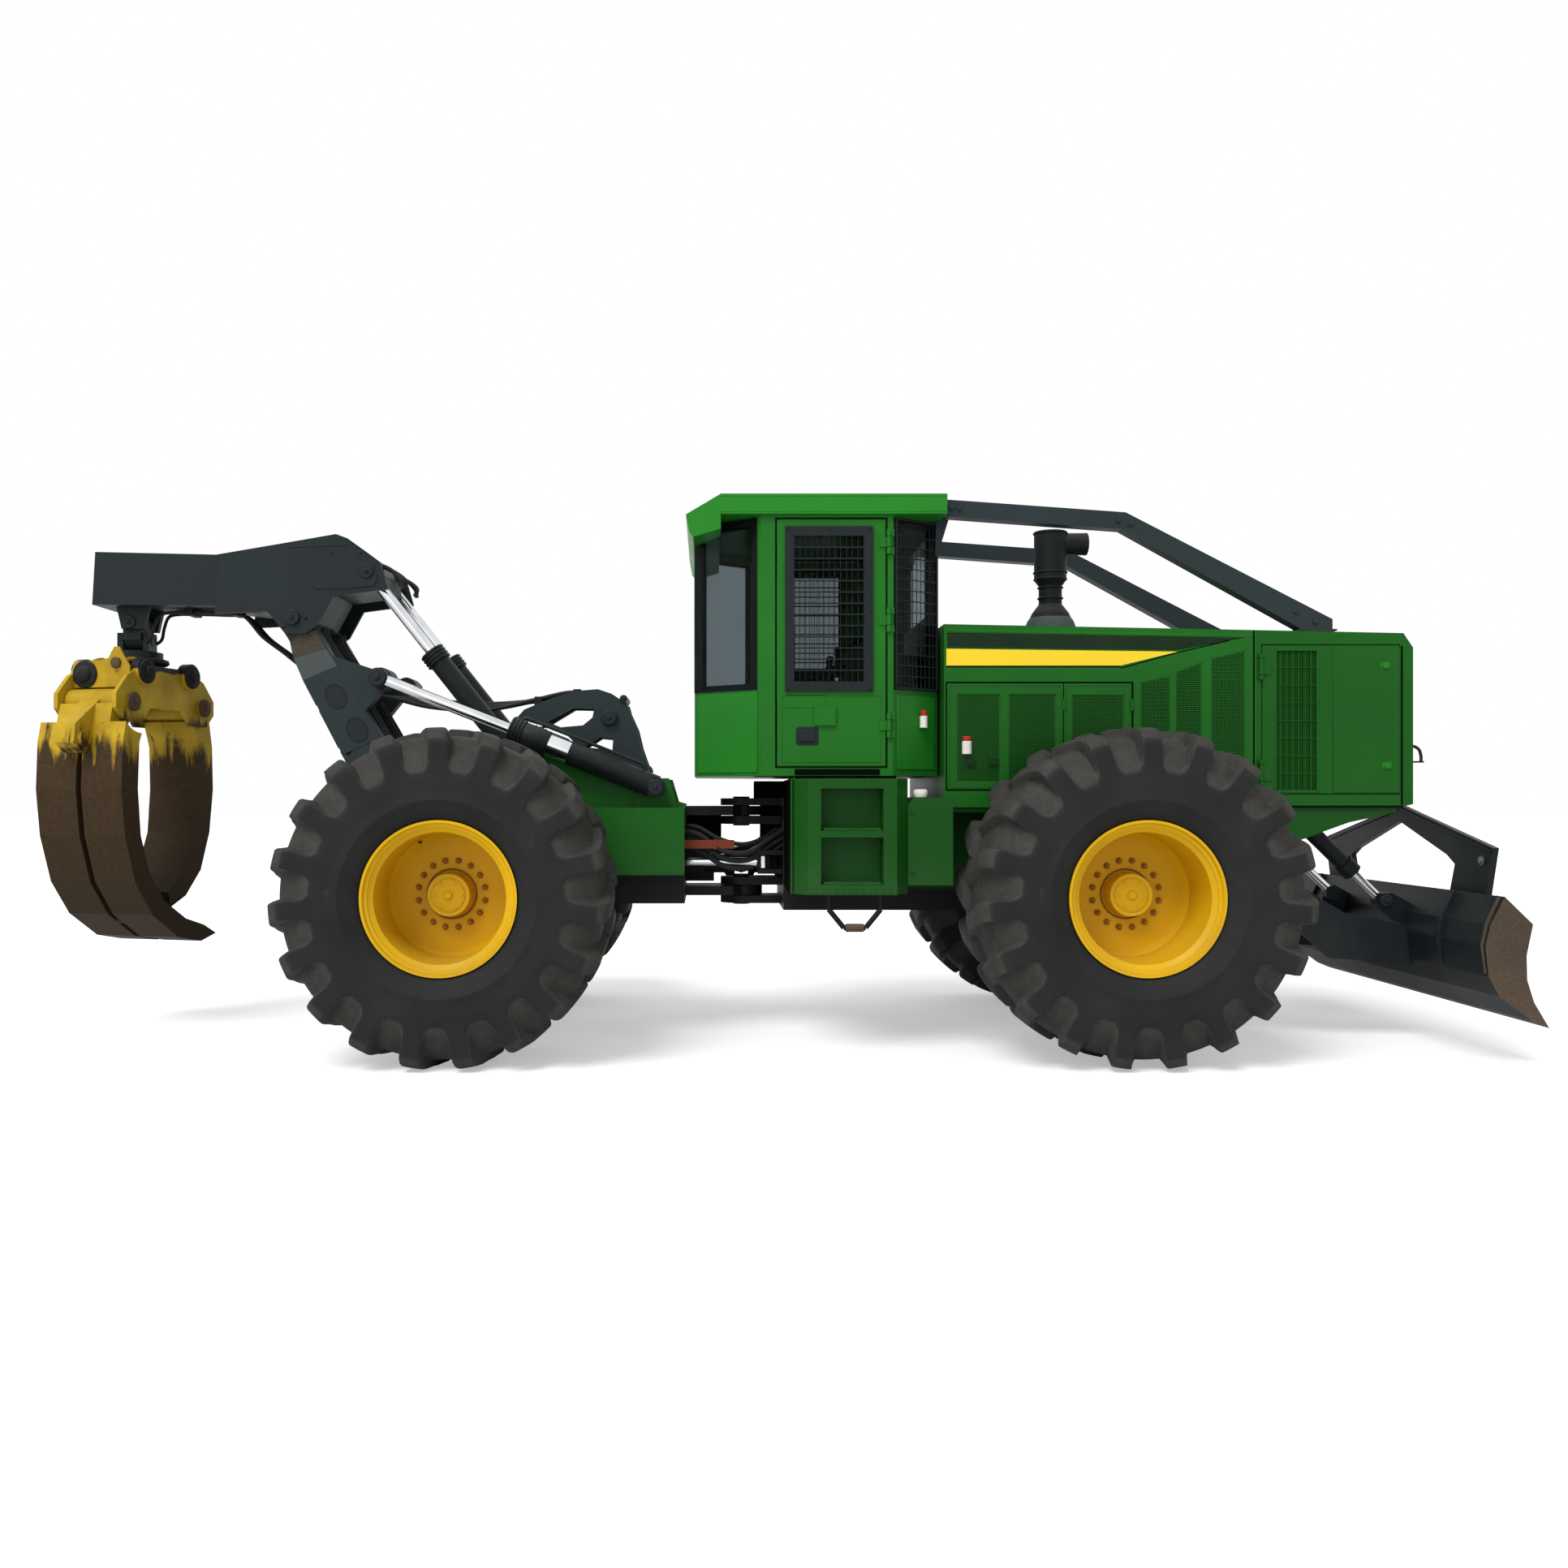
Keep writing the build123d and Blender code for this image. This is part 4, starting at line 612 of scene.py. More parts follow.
class SKIDDER_OT_stage(bpy.types.Operator):
    """Floor, lamps, world and camera."""

    bl_idname = "skidder.stage"
    bl_label = "Stage"

    def execute(self, context):
        scene = context.scene
        scene.view_settings.view_transform = "Standard"
        world = bpy.data.worlds.new("pale_room")
        scene.world = world
        world.use_nodes = True
        tree = world.node_tree
        path = add(tree, "ShaderNodeLightPath")
        mirrored = maths(tree, "MAXIMUM", path.outputs["Is Glossy Ray"], path.outputs["Is Transmission Ray"])
        seen = maths(tree, "MAXIMUM", path.outputs["Is Camera Ray"], mirrored)
        tree.links.new(spread(tree, seen, 0, 1, 0.62, 1.0), tree.nodes["Background"].inputs["Strength"])
        tree.nodes["Background"].inputs["Color"].default_value = (1, 1, 1, 1)
        bm = bmesh.new()
        bmesh.ops.create_grid(bm, x_segments=8, y_segments=8, size=120)
        mesh = bpy.data.meshes.new("floor")
        bm.to_mesh(mesh)
        bm.free()
        floor = bpy.data.objects.new("floor", mesh)
        scene.collection.objects.link(floor)
        floor.location.z = -0.001
        material, tree, shader = new_material("pale_floor")
        shader.inputs["Base Color"].default_value = (0.8, 0.8, 0.8, 1)
        shader.inputs["Roughness"].default_value = 0.9
        shader.inputs["Specular IOR Level"].default_value = 0.1
        path = add(tree, "ShaderNodeLightPath")
        tree.links.new(spread(tree, path.outputs["Is Camera Ray"], 0, 1, 0.0, 0.4),
                       shader.inputs["Emission Strength"])
        shader.inputs["Emission Color"].default_value = (1, 1, 1, 1)
        mesh.materials.append(material)
        for name, energy, turn, width in SUNS:
            lamp = bpy.data.lights.new(name, "SUN")
            lamp.energy = energy
            lamp.angle = math.radians(width)
            holder = bpy.data.objects.new(name, lamp)
            holder.rotation_euler = [math.radians(a) for a in turn]
            scene.collection.objects.link(holder)
        camera = bpy.data.objects.new("camera", bpy.data.cameras.new("camera"))
        camera.location = at(*CAMERA_PLACE)
        camera.rotation_euler = (math.pi / 2, 0, 0)
        camera.data.lens = CAMERA_LENS
        camera.data.sensor_width = 36
        camera.data.shift_x, camera.data.shift_y = CAMERA_SHIFT
        camera.data.clip_end = 400
        scene.collection.objects.link(camera)
        scene.camera = camera
        return {"FINISHED"}


class SKIDDER_OT_solids(bpy.types.Operator):
    """Finishes on the carried-over solids."""

    bl_idname = "skidder.solids"
    bl_label = "Solids"

    def execute(self, context):
        # The cab and roof greens are painted light, and the cooler, frame and rear frame greens painted
        # shade, all copies of the body green.
        finishes = {
            "stack": ["exhaust_stack"],
            "charcoal": ["boom", "crosshead", "rotator"],
            "bar": ["guard_bars", "tower_bracket", "arch"],
            "barrel": ["steering_barrel_left", "steering_barrel_right", "arch_cylinder_barrels",
                       "boom_cylinder_barrels", "blade_cylinder_barrels"],
            "cab": ["cab_shell", "cab_door_left", "cab_door_right"],
            "cooler": ["cooler_housing", "cooler_door_left", "cooler_door_right"],
            "blade": ["blade"],
            "iron": ["front_axle", "rear_axle", "engine_block", "cooler_core"],
            "quarter_glass": ["cab_windows"],
            "trim": ["operator_station"],
            "red": ["lock_bar"],
            "frame_green": ["front_frame", "side_boxes"],
            "rear_shaded_green": ["rear_frame"],
            "roof": ["cab_roof"],
            "worn": ["tong_rear", "tong_front"],
            "head": ["grapple_head"],
            "chrome": ["arch_cylinder_rods", "boom_cylinder_rods", "blade_cylinder_rods", "steering_rod_left",
                       "steering_rod_right"],
            "rubber": [n for n in NODES if n.startswith("tyre_")],
            "rim": [n for n in NODES if n.startswith("rim_")],
        }
        chosen = {node: finish for finish, nodes in finishes.items() for node in nodes}
        widths = {"cab_windows": 0.0, "door_window_left": 0.0, "door_window_right": 0.0}
        for name, solid in NODES.items():
            give(solid, chosen.get(name, "green"), 0.012 if name.startswith("tyre_") else widths.get(name))
        for name in ("door_window_left", "door_window_right"):
            window_panes(NODES[name])
        for name, x, z, radius in ROD_EYES:
            rod_eyes(NODES[name], at(x, 0, z), radius)
        return {"FINISHED"}


ROD_EYES = (
    # node, then the eye's x, z and radius
    ("boom_cylinder_rods", -0.690, 3.010, 0.074),
    ("arch_cylinder_rods", -0.580, 2.310, 0.064),
    ("blade_cylinder_rods", 5.890, 0.880, 0.052),
)


def rod_eyes(solid, centre, radius):
    """Painted iron on the eye at a rod's end, which shares the plated rod's node."""
    mesh = solid.data
    mesh.materials.append(MATERIALS["charcoal"])
    for face in mesh.polygons:
        if math.hypot(face.center.x - centre.x, face.center.z - centre.z) < radius:
            face.material_index = 1


def window_panes(solid):
    """The screen's finish on the guard and glass on the pane that shares its node."""
    mesh = solid.data
    mesh.materials.clear()
    mesh.materials.append(MATERIALS["screen"])
    mesh.materials.append(MATERIALS["glass"])
    limit = max(abs(v.co.y) for v in mesh.vertices) - 0.03
    for face in mesh.polygons:
        if abs(face.center.y) < limit:
            face.material_index = 1


def pierced(bm, outer, holes, y0, y1):
    """A plate in the side view with square holes, each given as lowest and highest x and z."""
    xs = sorted({outer[0], outer[1], *[h[0] for h in holes], *[h[1] for h in holes]})
    zs = sorted({outer[2], outer[3], *[h[2] for h in holes], *[h[3] for h in holes]})
    grid = {(x, z): bm.verts.new((AXLE_X + x, y0, z)) for x in xs for z in zs}
    faces = []
    for x_low, x_high in zip(xs, xs[1:]):
        for z_low, z_high in zip(zs, zs[1:]):
            x, z = (x_low + x_high) / 2, (z_low + z_high) / 2
            if not any(h[0] < x < h[1] and h[2] < z < h[3] for h in holes):
                corners = ((x_low, z_low), (x_high, z_low), (x_high, z_high), (x_low, z_high))
                faces.append(bm.faces.new([grid[c] for c in corners]))
    drawn = bmesh.ops.extrude_face_region(bm, geom=faces, use_keep_orig=True)["geom"]
    moved = [g for g in drawn if isinstance(g, bmesh.types.BMVert)]
    bmesh.ops.translate(bm, vec=(0, y1 - y0, 0), verts=moved)
    bmesh.ops.delete(bm, geom=[v for v in bm.verts if not v.link_faces], context="VERTS")


def cut(outline, value, axis):
    """Where a line at a value along one axis crosses an outline: the lowest and highest of the other axis."""
    found = []
    for a, b in zip(outline, outline[1:] + outline[:1]):
        if min(a[axis], b[axis]) <= value <= max(a[axis], b[axis]) and a[axis] != b[axis]:
            share = (value - a[axis]) / (b[axis] - a[axis])
            found.append(a[1 - axis] + share * (b[1 - axis] - a[1 - axis]))
    return min(found), max(found)


def strands(bm, outline, y, pitch, width, upright=True, level=True):
    """Square wires inside an outline of x and z, the upright ones behind the level ones."""
    for axis, wanted, depth in ((0, upright, 0.0), (1, level, width * 0.7)):
        values = [p[axis] for p in outline]
        low, high = min(values), max(values)
        count = max(2, round((high - low) / pitch)) if wanted else 0
        for index in range(1, count):
            middle = low + (high - low) * index / count
            first, last = cut(outline, middle, axis)
            here = (middle - width / 2, middle + width / 2)
            layer = sorted((y + math.copysign(depth, y), y + math.copysign(depth + width, y)))
            slab(bm, *((here, layer, (first, last)) if axis == 0 else ((first, last), layer, here)))


def band(bm, line, width, y0, y1):
    """A flat strip of even width along points of x and z."""
    for (xa, za), (xb, zb) in zip(line, line[1:]):
        length = math.hypot(xb - xa, zb - za)
        nx, nz = -(zb - za) / length * width / 2, (xb - xa) / length * width / 2
        corners = [(xa + nx, za + nz), (xb + nx, zb + nz), (xb - nx, zb - nz), (xa - nx, za - nz)]
        side_outline(bm, corners, y0, y1)


def round_plate(bm, x, z, y0, y1, radius=0.012):
    """A small plate with rounded corners, in the side view."""
    points = []
    corners = ((max(x), max(z), 0), (min(x), max(z), 90), (min(x), min(z), 180), (max(x), min(z), 270))
    for cx, cz, start in corners:
        mx = cx - radius if start in (0, 270) else cx + radius
        mz = cz - radius if start in (0, 90) else cz + radius
        for step in range(4):
            angle = math.radians(start + step * 30)
            points.append((mx + radius * math.cos(angle), mz + radius * math.sin(angle)))
    side_outline(bm, points, y0, y1)


def rod(bm, start, end, radius, sides=10):
    """A straight round bar between two places."""
    turned(bm, start, end, [(0, radius), (1, radius)], sides)


def pin_head(bm, x, y, z, radius, out, thickness=0.016):
    """A pin's end plate with a chamfer and one bolt, facing out along Y."""
    place = at(x, y, z)
    out = Vector((0, out, 0))
    turned(bm, place, place + out * thickness, [(0, radius), (0.7, radius), (1, radius * 0.9)], 28)
    bolt_head(bm, place + out * thickness, out, radius * 0.28, 0.012)


def outward(sign, near, far):
    """Two distances from the middle as a range along Y on one side."""
    return sorted((sign * near, sign * far))


LUG_PROFILE = (
    # y and radius on a lug, then y and radius in a pocket beside it
    (0.349, 0.446, 0.349, 0.446),
    (0.372, 0.470, 0.372, 0.470),
    (0.393, 0.505, 0.393, 0.505),
    (0.405, 0.545, 0.405, 0.545),
    (0.413, 0.556, 0.413, 0.556),
    (0.414, 0.568, 0.414, 0.568),
    (0.411, 0.576, 0.411, 0.576),
    (0.417, 0.625, 0.417, 0.625),
    (0.420, 0.675, 0.420, 0.675),
    (0.420, 0.705, 0.418, 0.705),
    (0.420, 0.728, 0.412, 0.726),
    (0.420, 0.752, 0.404, 0.747),
    (0.420, 0.780, 0.394, 0.768),
    (0.420, 0.810, 0.383, 0.790),
    (0.420, 0.840, 0.370, 0.812),
    (0.420, 0.870, 0.355, 0.836),
    (0.418, 0.898, 0.339, 0.860),
    (0.409, 0.921, 0.323, 0.881),
    (0.393, 0.943, 0.307, 0.898),
    (0.368, 0.959, 0.291, 0.910),
    (0.335, 0.968, 0.275, 0.918),
    (0.290, 0.972, 0.250, 0.924),
    (0.240, 0.973, 0.220, 0.927),
    (0.190, 0.974, 0.185, 0.928),
    (0.140, 0.975, 0.140, 0.929),
    (0.095, 0.975, 0.095, 0.929),
    (0.055, 0.975, 0.055, 0.929),
    (0.028, 0.975, 0.028, 0.929),
    (0.012, 0.973, 0.012, 0.929),
    (0.000, 0.930, 0.000, 0.930),
)


# Metres round the tyre at its full radius: a pocket's half opening at the tread and the ramp up to a lug
POCKET_OPENING = 0.092
LUG_RAMP = 0.028
LUG_PITCH_HALF = 0.161
LUG_SLANT = 0.12
SHOULDER_R, SHOULDER_FALL = 0.80, 0.095
TURN_AT_REST = 0.11
TYRE_STEPS = 30


def tyre_mesh(name, sign):
    """A tyre about its own centre: sidewalls, staggered slanting lugs and scooped pockets between them."""
    pitch = 2 * math.pi / LUGS
    angles = numpy.arange(LUGS * TYRE_STEPS) * pitch / TYRE_STEPS
    halves = {1: [], -1: []}
    for side, rows in halves.items():
        for y_lug, r_lug, y_pocket, r_pocket in LUG_PROFILE[:-1] if side < 0 else LUG_PROFILE:
            shift = LUG_SLANT * (y_lug / 0.42 - 0.5) / TYRE_R + (0 if side > 0 else pitch / 2)
            along = (numpy.abs((angles - shift + pitch / 2) % pitch - pitch / 2)) * TYRE_R
            opening = POCKET_OPENING
            if y_lug > 0.415:
                fall = max(0.0, SHOULDER_R - r_lug) / SHOULDER_FALL
                opening *= math.sqrt(max(0.0, 1 - fall ** 2))
            share = numpy.clip((LUG_PITCH_HALF - opening + LUG_RAMP / 2 - along) / LUG_RAMP, 0, 1)
            share = share * share * (3 - 2 * share)
            y = side * (y_pocket + (y_lug - y_pocket) * share)
            radius = r_pocket + (r_lug - r_pocket) * share
            rows.append((radius * numpy.sin(angles), y, radius * numpy.cos(angles)))
    rows = halves[1] + halves[-1][::-1]
    # The inside of the carcass, hidden by the rim, closes the ring
    for y, radius in ((-0.30, 0.430), (0.30, 0.430)):
        rows.append((radius * numpy.sin(angles), numpy.full(len(angles), y), radius * numpy.cos(angles)))
    stand = math.pi + math.atan2(TURN_AT_REST, TYRE_R)
    turn = numpy.array(((math.cos(stand), math.sin(stand)), (-math.sin(stand), math.cos(stand))))
    count = len(angles)
    points = []
    for x, y, z in rows:
        x, z = turn @ numpy.array((x, z))
        points.extend(zip(x.tolist(), (sign * y).tolist(), z.tolist()))
    faces = []
    for row in range(len(rows)):
        a, b = row * count, ((row + 1) % len(rows)) * count
        for k in range(count):
            m = (k + 1) % count
            faces.append((a + k, a + m, b + m, b + k) if sign > 0 else (b + k, b + m, a + m, a + k))
    mesh = bpy.data.meshes.new(name)
    mesh.from_pydata(points, [], faces)
    mesh.shade_smooth()
    mesh.set_sharp_from_angle(angle=math.radians(38))
    return mesh


NUTS, NUT_CIRCLE = 16, 0.200
HUB_LINE_RADIUS = 0.146
HUB_BOLT_CIRCLE = 0.078
VALVE_RADIUS, VALVE_ANGLE = 0.355, 2.1
DISC_FACE = WHEEL_Y - 0.075
HUB_FACE = WHEEL_Y + 0.043


class SKIDDER_OT_tyres(bpy.types.Operator):
    """Lugged tyres in place of the plain ones."""

    bl_idname = "skidder.tyres"
    bl_label = "Tyres"

    def execute(self, context):
        for side, sign in SIDES:
            mesh = tyre_mesh(f"lugged_tyre_{side}", sign)
            mesh.materials.append(MATERIALS["rubber"])
            for end, x in ENDS:
                made = bpy.data.objects.new(f"lugged_tyre_{end}_{side}", mesh.copy())
                context.scene.collection.objects.link(made)
                made.location = at(x, sign * WHEEL_Y, AXLE_Z)
                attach(made, f"wheel_{end}_{side}")
                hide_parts(f"tyre_{end}_{side}")
        return {"FINISHED"}


class SKIDDER_OT_wheels(bpy.types.Operator):
    """Wheel nuts, hub covers and valves."""

    bl_idname = "skidder.wheels"
    bl_label = "Wheel fasteners"

    def execute(self, context):
        for end, x in ENDS:
            for side, sign in SIDES:
                nuts, line, cover, valve = meshes(4)
                out = Vector((0, sign, 0))
                disc, hub = at(x, sign * DISC_FACE, AXLE_Z), at(x, sign * HUB_FACE, AXLE_Z)
                for a, b in circle(NUTS, NUT_CIRCLE, 0.5):
                    place = disc + Vector((a, 0, b))
                    bolt_head(nuts, place, out, 0.013, 0.020)
                    rod(nuts, place, place + out * 0.030, 0.007, 12)
                ring = [disc + out * 0.004 + Vector((a, 0, b)) for a, b in circle(48, HUB_LINE_RADIUS)]
                tube(line, ring, 0.006, 8, closed=True)
                turned(cover, hub, hub + out * 0.014, [(0, 0.098), (0.6, 0.098), (1, 0.088)], 36)
                for a, b in circle(6, HUB_BOLT_CIRCLE):
                    bolt_head(cover, hub + out * 0.012 + Vector((a, 0, b)), out, 0.009, 0.009)
                turned(cover, hub, hub + out * 0.028, [(0, 0.03), (0.7, 0.028), (1, 0.02)], 24)
                turn = Vector((math.cos(VALVE_ANGLE), 0, math.sin(VALVE_ANGLE)))
                stem = disc + out * 0.010 + turn * VALVE_RADIUS
                rod(valve, stem, stem + out * 0.07, 0.006)
                pieces(f"wheel_{end}_{side}",
                       (f"wheel_nuts_{end}_{side}", nuts, "nut", 0.0),
                       (f"hub_ring_{end}_{side}", line, "hub_line", 0.0),
                       (f"hub_cover_{end}_{side}", cover, "rim", 0.0),
                       (f"valve_{end}_{side}", valve, "iron", 0.0))
        return {"FINISHED"}


SCREEN_BOTTOM = 1.640
HOOD_SCREENS = (
    # lowest and highest x, then the height of the top at each
    (3.070, 3.339, 2.190, 2.190),
    (3.393, 3.686, 2.190, 2.190),
    (3.786, 4.111, 2.185, 2.185),
    (4.211, 4.400, 2.265, 2.305),
    (4.430, 4.596, 2.330, 2.390),
    (4.650, 4.865, 2.415, 2.463),
)
HOOD_GAPS = (
    # width of a dark gap, then its line in x and z
    (0.007, [(3.004, 2.3605), (4.085, 2.3605), (4.096, 2.353), (4.444, 2.449), (4.767, 2.524)]),
    (0.011, [(3.004, 2.262), (4.163, 2.262), (4.163, 1.590)]),
    (0.006, [(3.734, 2.258), (3.734, 1.592)]),
    (0.008, [(3.004, 1.592), (4.163, 1.592)]),
    (0.008, [(3.004, 2.262), (3.004, 1.592)]),
    (0.010, [(4.918, 1.50), (4.918, 2.585)]),
)
LOUVRES = 10
LOUVRE_OUTLINE = [(3.010, 2.480), (4.440, 2.462), (4.860, 2.540), (3.010, 2.572)]
STRIPE = [(3.004, 2.472), (4.444, 2.454), (4.091, 2.368), (3.004, 2.368)]
# The rolled edge above the hood's side: distance out from the skin, and height
TOP_BAND = ((-0.002, 2.576), (0.003, 2.578), (0.002, 2.590), (-0.014, 2.621), (-0.020, 2.618))


class SKIDDER_OT_hood(bpy.types.Operator):
    """Hood screens, louvres, stripe, side doors and their locks."""

    bl_idname = "skidder.hood"
    bl_label = "Hood"

    def execute(self, context):
        pitch = context.scene.skidder_sizes.screen_pitch
        sunk = HOOD_SKIN - 0.010
        screens, backs, slats, doors, gaps, stripe, locks, red, white = meshes(9)
        upright = Vector((0, 0, 1))
        for sign in (1, -1):
            for x0, x1, z0, z1 in HOOD_SCREENS:
                outline = [(x0 + 0.003, SCREEN_BOTTOM + 0.003), (x1 - 0.003, SCREEN_BOTTOM + 0.003),
                           (x1 - 0.003, z1 - 0.003), (x0 + 0.003, z0 - 0.003)]
                strands(screens, outline, sign * (sunk + 0.002), pitch, 0.0038)
                # Painted shade: a dark sheet behind each screen and behind the louvres.
                side_outline(backs, outline, *outward(sign, sunk, sunk + 0.001))
                band(doors, outline + outline[:1], 0.010, *outward(sign, sunk, HOOD_SKIN - 0.002))
            side_outline(backs, LOUVRE_OUTLINE, *outward(sign, sunk, sunk + 0.001))
            for index in range(LOUVRES):
                z = 2.470 + index * 0.0102
                low, high = cut(LOUVRE_OUTLINE, z, 1)
                tilted = [(sign * (sunk + 0.001), z - 0.002), (sign * (sunk + 0.001), z + 0.003),
                          (sign * (HOOD_SKIN - 0.001), z - 0.001), (sign * (HOOD_SKIN - 0.001), z - 0.005)]
                prism(slats, tilted, "x", AXLE_X + low + 0.004, AXLE_X + high - 0.004)
            side_outline(stripe, STRIPE, *outward(sign, HOOD_SKIN, HOOD_SKIN + 0.0015))
            for width, line in HOOD_GAPS:
                band(gaps, line, width, *outward(sign, HOOD_SKIN, HOOD_SKIN + 0.001))
            plate = outward(sign, HOOD_SKIN - 0.001, HOOD_SKIN + 0.005)
            holes = [(x0, x1, SCREEN_BOTTOM, z0) for x0, x1, z0, z1 in HOOD_SCREENS[:3]]
            pierced(doors, (3.010, 3.731, 1.598, 2.255), holes[:2], *plate)
            pierced(doors, (3.737, 4.156, 1.598, 2.255), holes[2:], *plate)
            for x0, x1 in ((3.022, 3.719), (3.749, 4.144)):
                band(doors, rectangle(x0, x1, 1.612, 2.243), 0.005,
                     *outward(sign, HOOD_SKIN + 0.005, HOOD_SKIN + 0.008))
            for x, z in ((3.151, 1.762), (3.298, 1.767), (4.02, 1.61)):
                face = outward(sign, HOOD_SKIN + 0.004, HOOD_SKIN + 0.008)
                round_plate(locks, (x - 0.032, x + 0.032), (z - 0.028, z + 0.028), *face)
                place = at(x, sign * (HOOD_SKIN + 0.008), z)
                rod(locks, place, place + Vector((0, sign * 0.006, 0)), 0.017, 20)
            lofted(doors, [(AXLE_X + 3.004, sign * (HOOD_SKIN + y), z) for y, z in TOP_BAND],
                   [(AXLE_X + 4.912, sign * (HOOD_SKIN + y), z - 0.033) for y, z in TOP_BAND])
            for z in (1.72, 2.12):
                for x in (3.734, 4.159):
                    knuckle = at(x, sign * (HOOD_SKIN + 0.009), z)
                    rod(doors, knuckle - upright * 0.035, knuckle + upright * 0.035, 0.008, 12)
        place = at(3.131, -HOOD_SKIN - 0.004, 1.875)
        rod(red, place + upright * 0.022, place + upright * 0.052, 0.026, 20)
        rod(white, place - upright * 0.060, place + upright * 0.022, 0.030, 20)
        pieces("front_frame",
               ("hood_screens", screens, "green", 0.0, "green_paint"),
               ("hood_screen_backs", backs, "dark_green", 0.0),
               ("hood_louvres", slats, "louvre", 0.0),
               ("hood_side_doors", doors, "green", 0.0015, "green_paint"),
               ("hood_gaps", gaps, "gap", 0.0),
               ("hood_stripe", stripe, "stripe", 0.0),
               ("hood_locks", locks, "dark_green", 0.001),
               ("filler_cap", red, "cap_red", 0.003),
               ("filler_bottle", white, "pale", 0.004))
        return {"FINISHED"}


DOOR_LOW, DOOR_HIGH = 1.565, 2.500
GRILLE_LOW, GRILLE_HIGH = 1.61, 2.43
GRILLE_WIRES, GRILLE_PITCH = 25, 0.045


class SKIDDER_OT_cooler(bpy.types.Operator):
    """Screens, edges, latches and gaps of the cooler housing and its doors."""

    bl_idname = "skidder.cooler"
    bl_label = "Cooler housing"

    def execute(self, context):
        frame_gaps, nose, back, wires = meshes(4)
        for side, sign in SIDES:
            screen, screen_back, skin, latch = meshes(4)
            line = rectangle(5.052, 5.316, DOOR_LOW + 0.02, DOOR_HIGH - 0.033)
            strands(screen, line[:4], sign * (HOOD_SKIN - 0.009), 0.011, 0.0035, level=False)
            strands(screen, line[:4], sign * (HOOD_SKIN - 0.008), 0.11, 0.004, upright=False)
            # Painted shade: a dark sheet behind the door's screen.
            slab(screen_back, (5.045, 5.323), outward(sign, HOOD_SKIN - 0.034, HOOD_SKIN - 0.030),
                 (DOOR_LOW + 0.01, DOOR_HIGH - 0.02))
            band(skin, line, 0.016, *outward(sign, HOOD_SKIN - 0.002, HOOD_SKIN + 0.003))
            slab(skin, (5.410, 5.826), outward(sign, HOOD_SKIN - 0.001, HOOD_SKIN + 0.005),
                 (DOOR_LOW + 0.012, DOOR_HIGH - 0.020))
            for x, z in ((5.733, 2.365), (5.743, 1.742)):
                round_plate(latch, (x - 0.030, x + 0.030), (z - 0.018, z + 0.024),
                            *outward(sign, HOOD_SKIN + 0.004, HOOD_SKIN + 0.009))
                place = at(x, sign * (HOOD_SKIN + 0.008), z)
                rod(latch, place, place + Vector((0, sign * 0.008, 0)), 0.018, 20)
            pieces(f"cooler_door_{side}",
                   (f"cooler_screen_{side}", screen, "cooler", 0.0, "green_paint"),
                   (f"cooler_screen_back_{side}", screen_back, "dark_green", 0.0),
                   (f"cooler_door_skin_{side}", skin, "cooler", 0.002, "green_paint"),
                   # The latches take the lighter panel green as a painted highlight.
                   (f"cooler_latches_{side}", latch, "panel", 0.002))
            for line in ([(5.840, 1.50), (5.840, 2.49)], [(5.10, 1.490), (5.85, 1.490)]):
                band(frame_gaps, line, 0.012, *outward(sign, HOOD_SKIN, HOOD_SKIN + 0.001))
            strap = [at(x, sign * 0.690, z) for x, z in (
                (5.902, 1.862), (5.940, 1.866), (5.972, 1.845), (5.984, 1.805), (5.984, 1.772))]
            tube(nose, smooth_path(strap, 5), 0.010, 8)
            slab(nose, (5.940, 5.994), outward(sign, 0.672, 0.708), (1.764, 1.774))
        # Painted shade: a black sheet and dark wires for the shade inside the nose grille.
        slab(back, (5.866, 5.868), (-0.556, 0.556), (GRILLE_LOW, GRILLE_HIGH))
        for index in range(GRILLE_WIRES):
            y = GRILLE_PITCH * (index - (GRILLE_WIRES - 1) / 2)
            slab(wires, (5.872, 5.878), (y - 0.004, y + 0.004), (GRILLE_LOW, GRILLE_HIGH))
        pieces("front_frame",
               ("nose_grille_back", back, "gap", 0.0),
               ("nose_grille_wires", wires, "dark_green", 0.0),
               ("cooler_gaps", frame_gaps, "gap", 0.0),
               ("nose_hooks", nose, "charcoal", 0.0))
        return {"FINISHED"}


# The cab's slanting walls, each from its rear to its front corner as x and distance from the middle
REAR_WALL = ((1.435, 0.490), (1.850, 0.830))
NOSE_WALL = ((2.660, 0.830), (2.970, 0.600))
WINDOW_LOW, WINDOW_HIGH = 2.230, 3.240
PANE_LOW, PANE_HIGH = 2.212, 3.275
SEAL_WIDTH = 0.022
QUARTER_WINDOWS = (
    # wall, the opening's margin at both ends, where the pane starts and how far it stops short
    (REAR_WALL, 0.050, 0.004, 0.032),
    (NOSE_WALL, 0.055, 0.008, 0.004),
)
GUARD_LOW, GUARD_HIGH, GUARD_EDGE = 2.215, 3.270, 0.012
GUARD_WIRES_LOW, GUARD_WIRES_HIGH = 2.230, 3.230
LOWER_PANELS = (
    # wall, lowest and highest
    (NOSE_WALL, 1.72, 2.18),
    (REAR_WALL, 1.70, 2.20),
)
ROOF_HALF = 0.865
VISOR = [(1.600, 3.413), (1.384, 3.285), (1.404, 3.180), (1.430, 3.145), (1.600, 3.195)]
DOOR_BOLTS = ((2.012, 2.216), (2.265, 2.216), (2.515, 2.216), (2.012, 3.20), (2.265, 3.20), (2.515, 3.20),
              (2.012, 2.7), (2.515, 2.7))


def wall_point(wall, along, out, z, sign):
    """A place on a slanting cab wall: metres from its start, metres outwards from its face, and height."""
    start, end = Vector(wall[0]), Vector(wall[1])
    direction = (end - start).normalized()
    place = start + direction * along + Vector((-direction.y, direction.x)) * out
    return at(place.x, sign * place.y, z)


